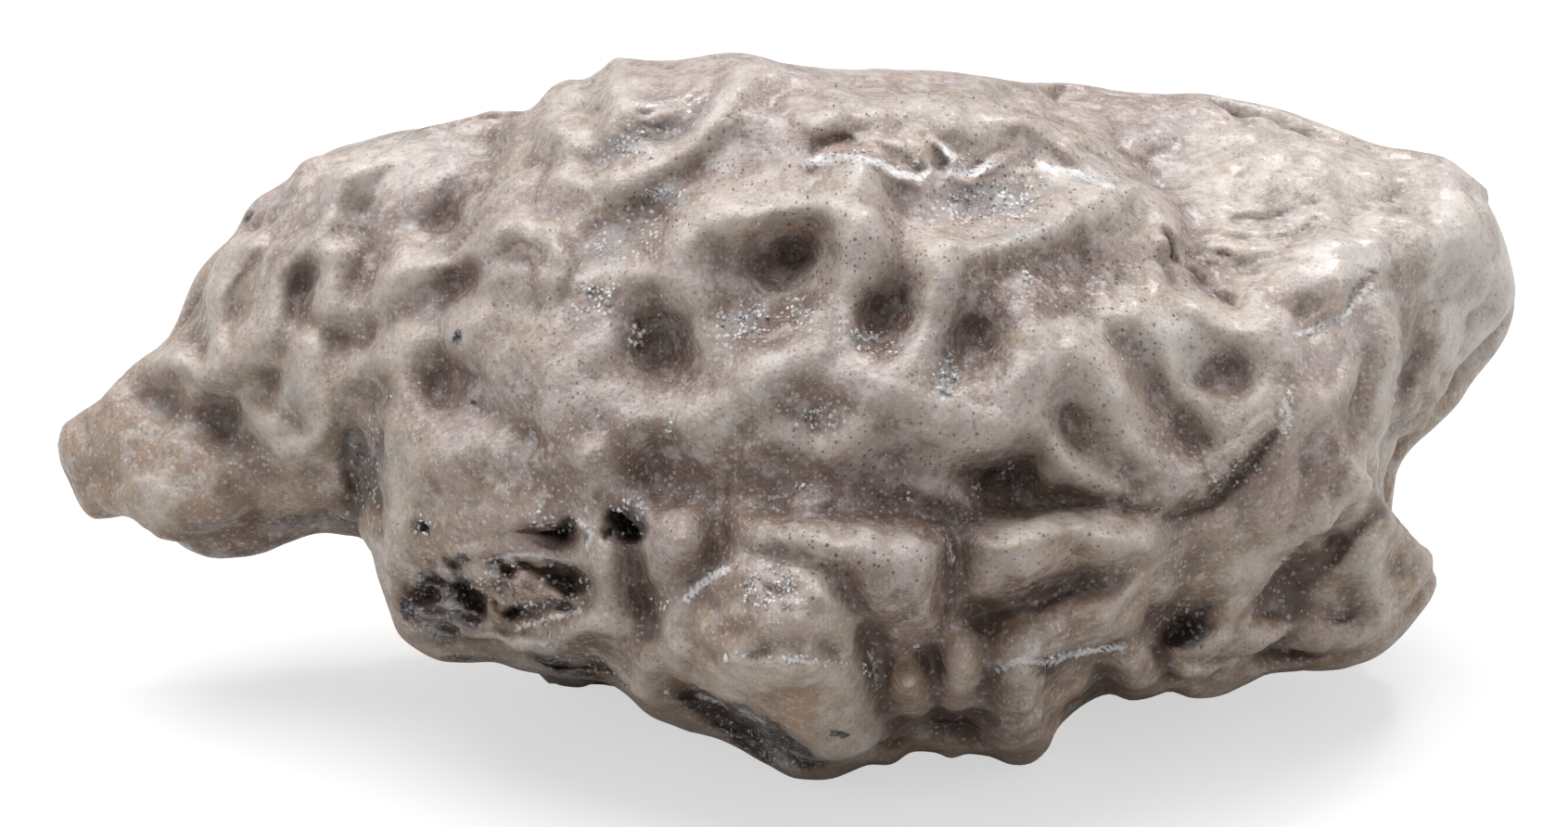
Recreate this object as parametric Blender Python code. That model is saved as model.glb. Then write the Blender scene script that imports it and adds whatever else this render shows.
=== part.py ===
"""Crinoid fossil: a crushed, weathered calyx in one solid piece of stone.

The stone is lofted from its left tip to its right end in face units, which are the pixels of its
ornamented face seen square on: x to the right, y down, w away from the viewer. The ridges that join the
centres of the plates, the pits between them and the lumps of the lower side then raise or sink that loft.
Last, the stone is turned to the way it lies and the lumps under it are worn flat where they touch.
"""

import math

import bpy
import numpy as np

LENGTH = 0.0396
LEFT_TIP = (57.0, 480.0)
RIGHT_END = (1640.0, 310.0)
UNIT = LENGTH / (RIGHT_END[0] - LEFT_TIP[0])
LEAN = math.radians(21)
FLOOR_POINT = (880.0, 850.0, 10.0)

ROWS = 230
COLUMNS = 140
FRONT_SHARE = 0.6
TRIANGLES = 9600
END_CROWDING = 0.03
AVERAGED_SHARE = 0.03
FRONT_ROUNDNESS = 0.92
BACK_ROUNDNESS = 0.80

# Each outline point is (station, x, y). The station runs from 0 at the left tip to 100 at the right end.
TOP_EDGE = [
    (0, 57, 480), (0.4, 61, 463), (1.2, 75, 450), (2.8, 100, 433), (4, 118, 418), (5, 133, 400),
    (6, 150, 385), (7.1, 168, 373), (7.9, 180, 360), (8.6, 187, 345), (9.4, 195, 325), (10.3, 206, 300),
    (11.5, 225, 275), (12.9, 250, 250), (13.8, 262, 228), (14.7, 275, 213), (15.8, 295, 201),
    (17.3, 320, 184), (19.2, 352, 164), (21.7, 395, 150), (24.3, 440, 140), (28, 500, 130),
    (31, 550, 121), (32.2, 570, 120), (33, 580, 113), (33.9, 592, 98), (35.1, 610, 88), (36.7, 635, 86),
    (37.7, 650, 76), (38.6, 663, 65), (39.4, 675, 65), (40.6, 695, 67), (42.8, 730, 64), (45, 765, 58),
    (47, 795, 56), (49.2, 825, 61), (51.5, 855, 69), (54, 885, 73), (59.5, 950, 75), (65, 1010, 76),
    (69.5, 1050, 81), (74, 1090, 86), (79, 1130, 88), (84, 1175, 91), (86, 1245, 100), (87.5, 1300, 100),
    (88.6, 1345, 106), (89.9, 1400, 121), (91.1, 1450, 140), (92.4, 1495, 157), (93.5, 1530, 161),
    (94.6, 1560, 167), (95.6, 1583, 180), (96.5, 1600, 198), (97.4, 1612, 220), (98.4, 1625, 250),
    (99.3, 1634, 280), (100, 1640, 310),
]
BOTTOM_EDGE = [
    (0, 57, 480), (0.6, 60, 498), (1.5, 70, 520), (2.4, 82, 545), (3.2, 95, 558), (4.1, 110, 559),
    (5.7, 140, 556), (6.8, 158, 563), (8.2, 180, 578), (9.5, 200, 593), (10.7, 220, 601), (12.4, 250, 602),
    (14.2, 280, 598), (16, 310, 585), (18, 345, 575), (19.5, 370, 577), (20.8, 392, 583), (21.6, 400, 596),
    (22.7, 408, 625), (23.8, 418, 655), (24.9, 428, 683), (25.9, 445, 698), (27.1, 470, 712),
    (28.6, 500, 715), (30.3, 532, 715), (31.9, 560, 722), (34.2, 600, 730), (38, 665, 743), (39, 680, 754),
    (40.2, 697, 770), (42.3, 730, 785), (45.4, 780, 800), (48.6, 830, 826), (50.3, 855, 838),
    (51.8, 880, 840), (53.3, 905, 837), (55, 935, 824), (56.6, 962, 823), (58.1, 985, 810),
    (59.4, 1010, 811), (60.3, 1025, 816), (61.4, 1045, 811), (62.6, 1070, 815), (63.7, 1090, 823),
    (64.8, 1110, 822), (66, 1128, 808), (67.1, 1138, 788), (68.1, 1155, 770), (69.9, 1195, 747),
    (71, 1220, 754), (72, 1245, 750), (72.7, 1262, 745), (73.6, 1285, 752), (74.7, 1315, 750),
    (75.9, 1345, 738), (76.7, 1365, 728), (77.9, 1400, 724), (79.7, 1455, 720), (80.6, 1480, 711),
    (81.4, 1500, 698), (82.5, 1525, 672), (83.6, 1548, 642), (84.1, 1552, 628), (84.7, 1545, 612),
    (85.4, 1530, 600), (86.3, 1515, 585), (87.5, 1505, 563), (88.9, 1507, 530), (90.2, 1515, 500),
    (92.2, 1550, 462), (93.7, 1577, 437), (95, 1595, 410), (96.8, 1620, 378), (98.3, 1635, 348),
    (100, 1640, 310),
]
# Each depth is (station, how far back the middle lies, half depth to the front, half depth to the back).
DEPTHS = [
    (0, 236, 0, 0), (0.5, 234, 26, 28), (1.5, 230, 44, 50), (4, 220, 80, 84), (9, 196, 122, 138),
    (15, 160, 172, 210), (22, 112, 220, 290), (30, 60, 276, 366), (40, 20, 326, 420), (50, 0, 346, 452),
    (60, 14, 360, 440), (68, 56, 372, 400), (74, 112, 384, 350), (78, 158, 392, 306), (84, 206, 384, 256),
    (89, 226, 346, 232), (93, 240, 290, 204), (96.5, 248, 200, 164), (98.8, 252, 104, 92),
    (99.6, 253, 56, 50), (100, 253, 0, 0),
]

# A broad form is (x, y, half length, half width, turn in degrees, rise). It sinks where the rise is negative.
BROAD_FORMS = {
    "middle swell": (900, 420, 330, 260, 0, 46),
    "upper right setback": (1390, 175, 230, 95, 8, -36),
    "right flank setback": (1570, 330, 90, 190, 0, -26),
    "lower right setback": (1400, 660, 190, 75, -8, -70),
    "right plate": (1430, 430, 75, 130, 20, 26),
    "left shoulder": (420, 260, 120, 110, -30, 30),
    "beak hollow": (330, 480, 90, 60, 0, -34),
    "beak lump": (195, 522, 58, 38, 10, 36),
    "cheek": (615, 420, 90, 85, 0, 34),
    "second cheek": (506, 494, 52, 42, -10, 34),
    "low cheek": (632, 498, 46, 32, 10, 26),
    "flank lump": (548, 540, 40, 24, -6, 20),
    "high cheek": (566, 392, 38, 40, 20, 16),
    "upper left lump": (572, 250, 60, 70, 20, 34),
    "crest swell": (880, 120, 260, 60, 4, 20),
    "left finger": (912, 612, 124, 66, 8, 72),
    "left finger's lower end": (976, 640, 46, 46, 0, 44),
    "right finger": (1140, 596, 106, 48, -3, 70),
    "scroll": (828, 708, 112, 90, 14, 94),
    "scroll swell": (842, 690, 70, 52, 14, 36),
    "small knob": (736, 588, 38, 48, 0, 62),
    "column": (656, 616, 29, 52, -8, 50),
    "broken flank": (560, 640, 80, 60, 10, 24),
    "black corner": (470, 650, 46, 56, -20, 10),
    "low shelf": (655, 700, 48, 32, 12, 22),
    "left foot knob": (983, 742, 27, 37, 0, 62),
    "middle foot knob": (1034, 716, 22, 46, 0, 58),
    "right foot": (1092, 770, 48, 52, -10, 62),
    "right haunch": (1156, 672, 100, 40, -20, 74),
    "heel knob": (1225, 730, 26, 24, 0, 34),
    "lobe knob": (1500, 690, 44, 34, -40, 24),
    "end lump": (1600, 380, 36, 60, 20, 24),
}

# A ridge is (rise, half width, the points along its crest).
RIDGES = {
    "brow of the great pit": (32, 29, [
        (737, 266), (745, 242), (780, 232),
        (825, 241), (880, 238), (922, 236),
    ]),
    "left wall of the great pit": (26, 32, [(737, 262), (742, 312), (758, 360), (778, 398), (812, 404)]),
    "right wall of the great pit": (34, 30, [
        (924, 190), (928, 250), (914, 305),
        (900, 350), (868, 384), (812, 404),
    ]),
    "strut": (34, 27, [(1022, 292), (1006, 334), (988, 380), (968, 424)]),
    "shelf": (30, 30, [(1000, 276), (1060, 264), (1112, 252), (1152, 230), (1205, 202)]),
    "upper shelf": (20, 23, [
        (872, 150), (905, 128), (1000, 119), (1080, 123),
        (1132, 142), (1168, 168), (1206, 198),
    ]),
    "link under the great pit": (18, 32, [(868, 384), (910, 398), (968, 424)]),
    "cheek seam": (22, 32, [(778, 398), (776, 436), (764, 480)]),
    "low ring": (16, 13, [(846, 452), (862, 470), (892, 476), (922, 468), (934, 448)]),
    "middle node": (34, 34, [(968, 424), (1014, 456), (1040, 452)]),
    "right node": (40, 38, [(1106, 392), (1084, 436), (1052, 470)]),
    "under node": (30, 26, [(1052, 470), (1104, 468), (1146, 500), (1190, 522)]),
    "pale rib": (32, 30, [(1142, 388), (1172, 418), (1200, 458), (1240, 492), (1282, 520)]),
    "second rib": (25, 27, [(1204, 330), (1244, 350), (1270, 394), (1300, 432), (1322, 474), (1318, 500)]),
    "third rib": (23, 29, [(1290, 336), (1322, 360), (1352, 392), (1360, 430), (1350, 470)]),
    "flat above the ribs": (6, 44, [(1130, 350), (1200, 330)]),
    "top of the left finger": (20, 24, [(796, 580), (850, 573), (930, 577), (1006, 594)]),
    "top of the right finger": (22, 20, [(1054, 574), (1120, 564), (1190, 565), (1234, 578)]),
    "edge of the right plate": (22, 20, [
        (1504, 346), (1500, 400), (1492, 452), (1484, 506),
        (1462, 546), (1420, 572), (1388, 612), (1330, 628),
    ]),
    "plate fold": (14, 18, [(1440, 400), (1416, 430), (1392, 470)]),
    "lip of the crack": (26, 16, [(1258, 232), (1266, 262), (1284, 288), (1304, 312), (1336, 312)]),
    "right brow": (26, 18, [(1300, 262), (1340, 270), (1380, 262)]),
    "white brow": (14, 13, [(1340, 262), (1370, 250), (1404, 242)]),
    "glossy swell": (20, 44, [(1392, 292), (1440, 276), (1474, 262)]),
    "right rear rib": (22, 16, [(1552, 346), (1556, 396), (1546, 440)]),
    "rear roll": (12, 44, [(1330, 218), (1420, 196), (1500, 180), (1570, 190)]),
    "rear roll lower": (16, 34, [(1470, 262), (1540, 262), (1600, 240)]),
    "lobe rib": (16, 24, [(1464, 590), (1484, 636), (1496, 666)]),
    "lobe hem": (12, 26, [(1300, 700), (1360, 690), (1420, 686), (1490, 672)]),
    "shiny haunch line": (8, 16, [(1068, 716), (1102, 704), (1150, 702), (1204, 686)]),
    "scroll rim": (8, 24, [(732, 672), (746, 634), (786, 608), (842, 606), (884, 626), (922, 664)]),
    "scroll band": (20, 26, [(792, 724), (850, 717), (904, 730), (928, 764), (910, 800)]),
    "right edge of the scroll": (16, 22, [(880, 628), (920, 664), (942, 712), (946, 760), (926, 806)]),
    "left edge of the scroll": (14, 18, [(694, 748), (704, 716), (724, 688), (732, 660)]),
    "flank hem": (20, 13, [(532, 684), (560, 697), (602, 688), (646, 666), (694, 660)]),
    "slit": (10, 22, [(700, 118), (728, 110), (760, 104)]),
    "band under the slit": (22, 24, [
        (806, 106), (772, 140), (738, 160),
        (708, 168), (662, 202), (606, 182),
    ]),
    "left crest": (20, 24, [(664, 70), (668, 110), (650, 140), (610, 150)]),
    "shell ring": (16, 18, [(528, 262), (548, 242), (580, 250), (600, 282), (596, 306)]),
    "left edge of the face": (26, 18, [(560, 190), (532, 208), (512, 236), (498, 264)]),
    "left edge below": (22, 18, [(530, 300), (516, 328), (502, 356)]),
    "pale tongue": (32, 26, [(500, 266), (462, 282), (430, 300), (404, 336)]),
    "tongue below": (24, 26, [(506, 344), (468, 352), (436, 366), (404, 400)]),
    "cheek brow": (6, 26, [(700, 300), (668, 292), (630, 302), (592, 322), (560, 338)]),
    "left rib": (30, 30, [(392, 168), (352, 206), (340, 250), (302, 286), (298, 344), (282, 384)]),
    "white rib": (34, 22, [(352, 270), (374, 290), (366, 330), (390, 344)]),
    "beak rib": (34, 23, [(338, 372), (332, 410), (344, 452), (318, 484), (276, 446)]),
    "outer rib": (30, 24, [(262, 262), (236, 300), (226, 350), (250, 392), (200, 400), (164, 376)]),
    "beak seam": (24, 22, [(156, 520), (172, 560)]),
    "chin": (18, 26, [(430, 470), (436, 520), (430, 566), (424, 604)]),
}

# A groove is (depth, half width, the points along its floor).
GROOVES = {
    "great seam": (32, 38, [(748, 522), (800, 514), (870, 512), (940, 520), (1012, 544)]),
    "great seam floor": (46, 15, [
        (800, 546), (860, 546), (940, 548), (1006, 553),
        (1034, 552), (1090, 543), (1160, 541), (1242, 552),
    ]),
    "between the fingers": (50, 16, [(1022, 530), (1034, 580), (1038, 630), (1030, 700)]),
    "under the right finger": (44, 17, [
        (1016, 706), (1040, 680), (1080, 656),
        (1120, 638), (1170, 620), (1250, 596),
    ]),
    "under the left finger": (22, 16, [
        (932, 684),
        (966, 702), (1000, 702), (1028, 688),
    ]),
    "round the scroll": (44, 13, [
        (722, 672), (756, 616), (800, 590), (850, 594),
        (898, 620), (940, 668), (962, 720), (966, 800),
    ]),
    "fold of the scroll": (14, 11, [(790, 706), (840, 694), (892, 698), (932, 716)]),
    "right of the scroll": (48, 17, [(924, 640), (954, 700), (960, 750), (958, 830)]),
    "between the foot knobs": (34, 11, [(1006, 676), (1009, 720), (1010, 760), (1012, 800)]),
    "left of the right foot": (36, 14, [(1074, 690), (1064, 740), (1050, 790), (1040, 830)]),
    "left of the left finger": (44, 20, [(760, 536), (782, 566), (780, 596), (752, 622), (722, 650)]),
    "left of the knob": (34, 15, [(700, 560), (692, 606), (700, 650), (690, 690)]),
    "left of the column": (26, 14, [(622, 580), (630, 610), (634, 650)]),
    "channel beside the pit": (10, 22, [(968, 200), (960, 250), (948, 300)]),
    "under the shelf": (10, 32, [(1020, 306), (1070, 304), (1120, 292), (1166, 268), (1204, 240)]),
    "slit floor": (24, 13, [(800, 94), (766, 120), (742, 143), (700, 152), (682, 168)]),
    "speckled channel": (14, 24, [
        (858, 214), (800, 196), (748, 196), (718, 214),
        (688, 240), (652, 268), (640, 300),
    ]),
    "under the cheek brow": (4, 22, [(664, 318), (624, 322), (590, 340), (560, 366)]),
    "chipped ledge": (7, 10, [(872, 178), (892, 166), (920, 166), (950, 172), (996, 184)]),
    "crack": (36, 12, [(1252, 258), (1260, 282), (1280, 296), (1294, 316), (1318, 328)]),
    "left side of the face": (36, 24, [(556, 146), (536, 190), (504, 226), (484, 250)]),
    "notch of the face": (32, 24, [(524, 284), (510, 300), (488, 330)]),
    "long left valley": (32, 22, [(486, 372), (484, 404), (500, 434), (548, 446), (576, 480), (600, 520)]),
    "throat": (30, 34, [(424, 462), (404, 500), (406, 546), (420, 582)]),
    "plate crevice": (18, 13, [(1378, 470), (1352, 490), (1326, 524), (1292, 548), (1250, 560)]),
    "plate crease": (12, 9, [(1400, 361), (1438, 346), (1456, 324), (1478, 294)]),
    "hollow by the crease": (18, 22, [(1372, 336), (1400, 336), (1420, 318)]),
    "right rear slot": (12, 22, [(1532, 350), (1530, 400), (1522, 442)]),
    "end notch": (14, 18, [(1588, 318), (1612, 340), (1630, 352)]),
    "under the plate": (44, 20, [(1478, 562), (1446, 574), (1418, 604), (1366, 640), (1330, 646)]),
    "black slot": (48, 16, [(1304, 650), (1276, 668), (1256, 696)]),
    "heel slot": (26, 10, [(1252, 700), (1256, 738)]),
    "lobe slot": (16, 14, [(1278, 716), (1318, 716), (1376, 712), (1420, 706)]),
    "flank shadow": (30, 14, [(590, 708), (640, 726), (684, 744)]),
    "valley by the beak": (24, 26, [(370, 250), (398, 290), (404, 330), (380, 366), (350, 400)]),
}

# A pit is (x, y, half length, half width, turn in degrees, depth).
PITS = {
    "great pit": (838, 324, 84, 68, -8, 60),
    "great pit head": (852, 280, 50, 26, 0, 34),
    "left pit": (726, 380, 43, 50, -14, 76),
    "left pit tail": (690, 396, 36, 34, 0, 18),
    "middle pit": (944, 340, 36, 44, 10, 66),
    "right pit": (1034, 372, 38, 44, 30, 62),
    "ring dish": (888, 446, 52, 26, 0, 14),
    "seam pit": (1068, 510, 46, 28, 4, 86),
    "first rib pit": (1150, 460, 32, 44, -36, 22),
    "second rib pit": (1248, 430, 40, 60, -42, 18),
    "third rib pit": (1322, 397, 32, 27, 0, 32),
    "seam end pit": (740, 508, 40, 40, 10, 48),
    "dish under the crest": (1066, 222, 76, 30, -6, 18),
    "small crest dish": (832, 124, 18, 20, 0, 7),
    "flat under the shelf": (1160, 310, 60, 30, -10, 12),
    "crystal pit": (644, 322, 36, 20, -8, 6),
    "left face pit": (480, 246, 34, 24, -6, 28),
    "chin pit": (492, 402, 28, 30, 10, 36),
    "chin pit two": (416, 420, 26, 28, 0, 26),
    "left pit by the rib": (327, 316, 28, 38, 8, 34),
    "beak pit": (300, 406, 36, 30, -20, 30),
    "beak pit two": (240, 448, 46, 30, 10, 30),
    "beak pit three": (164, 434, 30, 28, 0, 18),
    "beak end dish": (110, 510, 30, 26, 0, 12),
    "beak underside": (300, 560, 70, 18, -8, 24),
    "outer pit": (212, 330, 22, 36, 12, 20),
    "outer notch": (266, 238, 12, 14, 0, 26),
    "rear hollow": (1506, 231, 34, 18, 10, 12),
    "rear hollow two": (1272, 170, 34, 20, 0, 10),
    "rear hollow three": (1346, 164, 30, 20, 0, 10),
    "rear hollow four": (1556, 288, 30, 36, 0, 12),
    "lobe pit": (1446, 656, 34, 24, -8, 26),
    "lobe pit two": (1512, 620, 22, 26, 20, 20),
    "lobe pit three": (1396, 710, 40, 14, -6, 20),
    "lobe pit four": (1352, 666, 34, 22, -10, 10),
    "scroll cavity": (808, 784, 80, 24, 34, 74),
    "foot dish": (1090, 770, 22, 18, 0, 14),
    "foot shadow": (1010, 780, 46, 24, 0, 24),
    "black hole": (504, 642, 14, 40, -24, 36),
    "black hole two": (462, 640, 24, 26, 0, 30),
    "flank hole": (680, 560, 20, 17, 20, 40),
    "flank hole two": (606, 567, 20, 12, 0, 36),
    "flank break": (562, 628, 70, 28, 14, 18),
    "flank slot": (616, 626, 26, 12, 20, 22),
}

# A step is (drop, half width, reach, the points along its brink). The ground falls away on the right of the
# points as they are followed, comes back slowly over the reach, and the drop tapers off at both ends.
STEPS = {
    "back brink": (84, 18, 220, [
        (1330, 372), (1298, 320), (1272, 268), (1254, 214),
        (1222, 171), (1178, 136), (1123, 106), (1013, 46),
    ]),
    "left brink": (60, 22, 190, [
        (640, -40), (598, 50), (562, 120), (532, 188),
        (510, 256), (502, 316), (498, 372), (494, 430),
    ]),
    "right plate brink": (66, 13, 150, [
        (1330, 660), (1400, 604), (1440, 574), (1478, 530), (1490, 470), (1502, 400), (1506, 330), (1500, 270),
    ]),
}
STEP_TAPER = 0.16
# The share of a line's length over which it fades, and the share of a groove's depth that is left at its ends.
END_FADE = 0.3
GROOVE_ENDS = 0.15
# How flat the tops of the broad forms and the floors of the pits are: 2 is a plain bell.
BROAD_POWER = 2.4
PIT_POWER = 2.3
# The share of the stone's depth in front of its outline that the face may sink by.
SINKING_ROOM = 0.8

LEVEL_WITHIN = 0.00002
# A rear lump is (x, y, w, radius, rise). The two feet hold the stone level with the scroll at its front.
REAR_LUMPS = {
    "left rear foot": (640, 661, 309, 105, 74),
    "right rear foot": (1235, 667, 350, 105, 58),
    "rear crown": (900, 250, 410, 160, 36),
    "rear shoulder": (560, 330, 330, 120, 30),
    "right rear hump": (1260, 320, 400, 130, 30),
}
PLATE_ROWS = 11
PLATES_AROUND = 12
PLATE_PIT_DEPTH = 44.0
PLATE_RIDGE_WIDTH = 30.0
PLATE_SEED = 12
# Each set of soft lumps is (wavelength, height, seed).
SWELLINGS = [(170, 15, 3), (84, 10, 5), (46, 5, 8)]
# How far chance bends the lines of the face sideways, over what wavelength, and the seeds of the two bends.
BEND = 14.0
BEND_WAVELENGTH = 80.0
BEND_SEEDS = (21, 22)
# The share of the soft lumps' height that is left on the outline.
OUTLINE_SHARE = 0.15

STONE_COLOUR = (0.38, 0.3, 0.24, 1.0)
STONE_ROUGHNESS = 0.55


def through(knots, column, stations):
    """A smooth curve through the knots of a table: cubic pieces whose slopes are the knots' mean slopes."""
    at = np.array([knot[0] for knot in knots], float)
    value = np.array([knot[column] for knot in knots], float)
    slope = np.gradient(value, at)
    piece = np.clip(np.searchsorted(at, stations, side="right") - 1, 0, len(at) - 2)
    span = at[piece + 1] - at[piece]
    t = (stations - at[piece]) / span
    return (
        (2 * t**3 - 3 * t**2 + 1) * value[piece]
        + (t**3 - 2 * t**2 + t) * span * slope[piece]
        + (3 * t**2 - 2 * t**3) * value[piece + 1]
        + (t**3 - t**2) * span * slope[piece + 1]
    )


def smooth_step(low, high, value):
    """0 below low, 1 above high, and an S-shaped curve between them."""
    t = np.clip((value - low) / (high - low), 0, 1)
    return t * t * (3 - 2 * t)


def grid_places(rows, columns):
    """The stations and angles of a grid, with more columns to an angle on the front."""
    step = np.linspace(0, 1, rows + 1)
    station = 100 * (step - END_CROWDING * np.sin(2 * math.pi * step))
    on_front = round(columns * FRONT_SHARE)
    front = np.linspace(0, math.pi, on_front, endpoint=False)
    rear = np.linspace(math.pi, 2 * math.pi, columns - on_front, endpoint=False)
    return np.meshgrid(station, np.concatenate([front, rear]), indexing="ij")


def loft(station, angle):
    """The plain stone: the points (x, y, w) at some stations and angles.

    At each station the section is a rounded oval. Its upright axis joins the top edge to the bottom edge,
    and its other axis runs from the front half depth to the back half depth. The angle starts at the top
    edge, goes down the front and comes up the back.
    """
    top_x, top_y = through(TOP_EDGE, 1, station), through(TOP_EDGE, 2, station)
    bottom_x, bottom_y = through(BOTTOM_EDGE, 1, station), through(BOTTOM_EDGE, 2, station)
    middle, front_depth, back_depth = [through(DEPTHS, column, station) for column in (1, 2, 3)]
    on_back = np.sin(angle) < 0
    roundness = np.where(on_back, BACK_ROUNDNESS, FRONT_ROUNDNESS)
    upright = np.sign(np.cos(angle)) * np.abs(np.cos(angle)) ** roundness
    forward = np.sign(np.sin(angle)) * np.abs(np.sin(angle)) ** roundness
    x = (top_x + bottom_x) / 2 + (top_x - bottom_x) / 2 * upright
    y = (top_y + bottom_y) / 2 + (top_y - bottom_y) / 2 * upright
    w = middle - np.maximum(np.where(on_back, back_depth, front_depth), 0) * forward
    return np.stack([x, y, w], axis=-1)


def outward(points):
    """Directions square to a grid, from the differences along it and around it.

    They are averaged over neighbouring rows, so that neighbours don't cross where the outline has a kink.
    """
    along = np.gradient(points, axis=0)
    around = np.roll(points, -1, axis=1) - np.roll(points, 1, axis=1)
    normal = np.cross(around, along)
    normal /= np.maximum(np.linalg.norm(normal, axis=-1, keepdims=True), 1e-9)
    reach = max(1, round(AVERAGED_SHARE * len(points)))
    total = np.cumsum(np.pad(normal, ((reach + 1, reach), (0, 0), (0, 0)), mode="edge"), axis=0)
    normal = total[2 * reach + 1 :] - total[: -2 * reach - 1]
    return normal / np.maximum(np.linalg.norm(normal, axis=-1, keepdims=True), 1e-9)


def line_distance(x, y, line):
    """From each point of the face to a line of straight pieces: the distance, the side and the share of the
    line's length passed at the nearest point.

    The side is 1 on the right of the line and -1 on its left.
    """
    nearest = np.full(x.shape, np.inf)
    side = np.ones(x.shape)
    passed = np.zeros(x.shape)
    lengths = [math.dist(start, end) for start, end in zip(line, line[1:])]
    for number, ((ax, ay), (bx, by)) in enumerate(zip(line, line[1:])):
        dx, dy = bx - ax, by - ay
        t = np.clip(((x - ax) * dx + (y - ay) * dy) / (dx * dx + dy * dy), 0, 1)
        gap = np.hypot(x - ax - t * dx, y - ay - t * dy)
        closer = gap < nearest
        side = np.where(closer, np.sign((y - ay) * dx - (x - ax) * dy), side)
        passed = np.where(closer, sum(lengths[:number]) + t * lengths[number], passed)
        nearest = np.where(closer, gap, nearest)
    return nearest, side, passed / sum(lengths)


def oval_distance(x, y, middle_x, middle_y, half_length, half_width, turn):
    """The distance from an oval's middle, measured so that it is 1 on the oval."""
    c, s = math.cos(math.radians(turn)), math.sin(math.radians(turn))
    along = (x - middle_x) * c + (y - middle_y) * s
    across = (y - middle_y) * c - (x - middle_x) * s
    return np.hypot(along / half_length, across / half_width)


def line_relief(x, y, lines, left_at_ends=1.0):
    """The highest of the bells along some lines, so that lines join without piling up.

    The share left_at_ends of a line's height is left at its two ends.
    """
    relief = np.zeros(x.shape)
    for rise, half_width, line in lines.values():
        distance, _, passed = line_distance(x, y, line)
        along = smooth_step(0, END_FADE, passed) * smooth_step(0, END_FADE, 1 - passed)
        height = rise * (left_at_ends + (1 - left_at_ends) * along)
        relief = np.maximum(relief, height * np.exp(-((distance / half_width) ** 2)))
    return relief


def step_relief(x, y):
    """How far the ground has fallen away beyond the steps."""
    fallen = np.zeros(x.shape)
    for drop, half_width, reach, line in STEPS.values():
        distance, side, passed = line_distance(x, y, line)
        over = smooth_step(-half_width, half_width, distance * side)
        taper = smooth_step(0, STEP_TAPER, passed) * smooth_step(0, STEP_TAPER, 1 - passed)
        fallen += drop * taper * over * np.exp(-((distance / reach) ** 2))
    return fallen


def broad_relief(x, y):
    """How far the broad forms of the ornamented face stand out of the loft. Each is a bell."""
    relief = -step_relief(x, y)
    for *place, rise in BROAD_FORMS.values():
        relief += rise * np.exp(-(oval_distance(x, y, *place) ** BROAD_POWER))
    return relief


def fine_relief(x, y):
    """How far the ridges, grooves and pits stand out. A pit is a bell with a rather flat floor."""
    relief = line_relief(x, y, RIDGES) - line_relief(x, y, GROOVES, GROOVE_ENDS)
    for *place, depth in PITS.values():
        relief -= depth * np.exp(-(oval_distance(x, y, *place) ** PIT_POWER))
    return relief


def swelling(points, wavelength, seed):
    """Soft lumps, from -1 to 1: chance values at the corners of cubes, blended smoothly between them."""
    chance = np.random.default_rng(seed).uniform(-1, 1, (16, 16, 16))
    place = points / wavelength
    cell = np.floor(place).astype(int)
    blend = place - cell
    blend = blend * blend * (3 - 2 * blend)
    total = np.zeros(points.shape[:-1])
    for corner in np.ndindex(2, 2, 2):
        share = np.prod(np.where(corner, blend, 1 - blend), axis=-1)
        i, j, k = np.moveaxis((cell + corner) % 16, -1, 0)
        total += share * chance[i, j, k]
    return total


def plate_links():
    """The lines that join the centres of neighbouring plates, as pairs of points in space.

    The centres stand in rings round the stone, and every second ring is turned by half a plate.
    """
    ring, place = np.meshgrid(np.arange(PLATE_ROWS), np.arange(PLATES_AROUND), indexing="ij")
    turn = place + 0.5 * (ring % 2) + 0.16 * np.sin(3.1 * ring + 1.7 * place)
    station = 100 * (ring + 1 + 0.2 * np.sin(2.3 * place + ring)) / (PLATE_ROWS + 1)
    centre = loft(station, 2 * math.pi * ((turn / PLATES_AROUND) % 1.0))
    links = []
    for i, j in np.ndindex(PLATE_ROWS, PLATES_AROUND):
        links.append((centre[i, j], centre[i, (j + 1) % PLATES_AROUND]))
        if i + 1 < PLATE_ROWS:
            shift = i % 2
            links.append((centre[i, j], centre[i + 1, (j + shift) % PLATES_AROUND]))
            links.append((centre[i, j], centre[i + 1, (j + shift - 1) % PLATES_AROUND]))
    return links


def plate_pits(points):
    """How far the plates are sunk between the ridges that join their centres."""
    ridge = np.zeros(points.shape[:-1])
    links = plate_links()
    strengths = np.random.default_rng(PLATE_SEED).uniform(0.45, 1, len(links))
    for (start, end), strength in zip(links, strengths):
        span = end - start
        t = np.clip((points - start) @ span / (span @ span), 0, 1)
        away = np.linalg.norm(points - start - t[..., None] * span, axis=-1)
        ridge = np.maximum(ridge, strength * np.exp(-((away / PLATE_RIDGE_WIDTH) ** 2)))
    return PLATE_PIT_DEPTH * (1 - ridge)


def rear_relief(points):
    """How far the lumps of the hidden sides stand out, and what they leave of the plates there."""
    raised = np.zeros(points.shape[:-1])
    left = np.ones(points.shape[:-1])
    for *place, radius, rise in REAR_LUMPS.values():
        bell = np.exp(-((np.linalg.norm(points - place, axis=-1) / radius) ** 2))
        raised += rise * bell
        left *= 1 - bell
    return raised - left * plate_pits(points)


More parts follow.
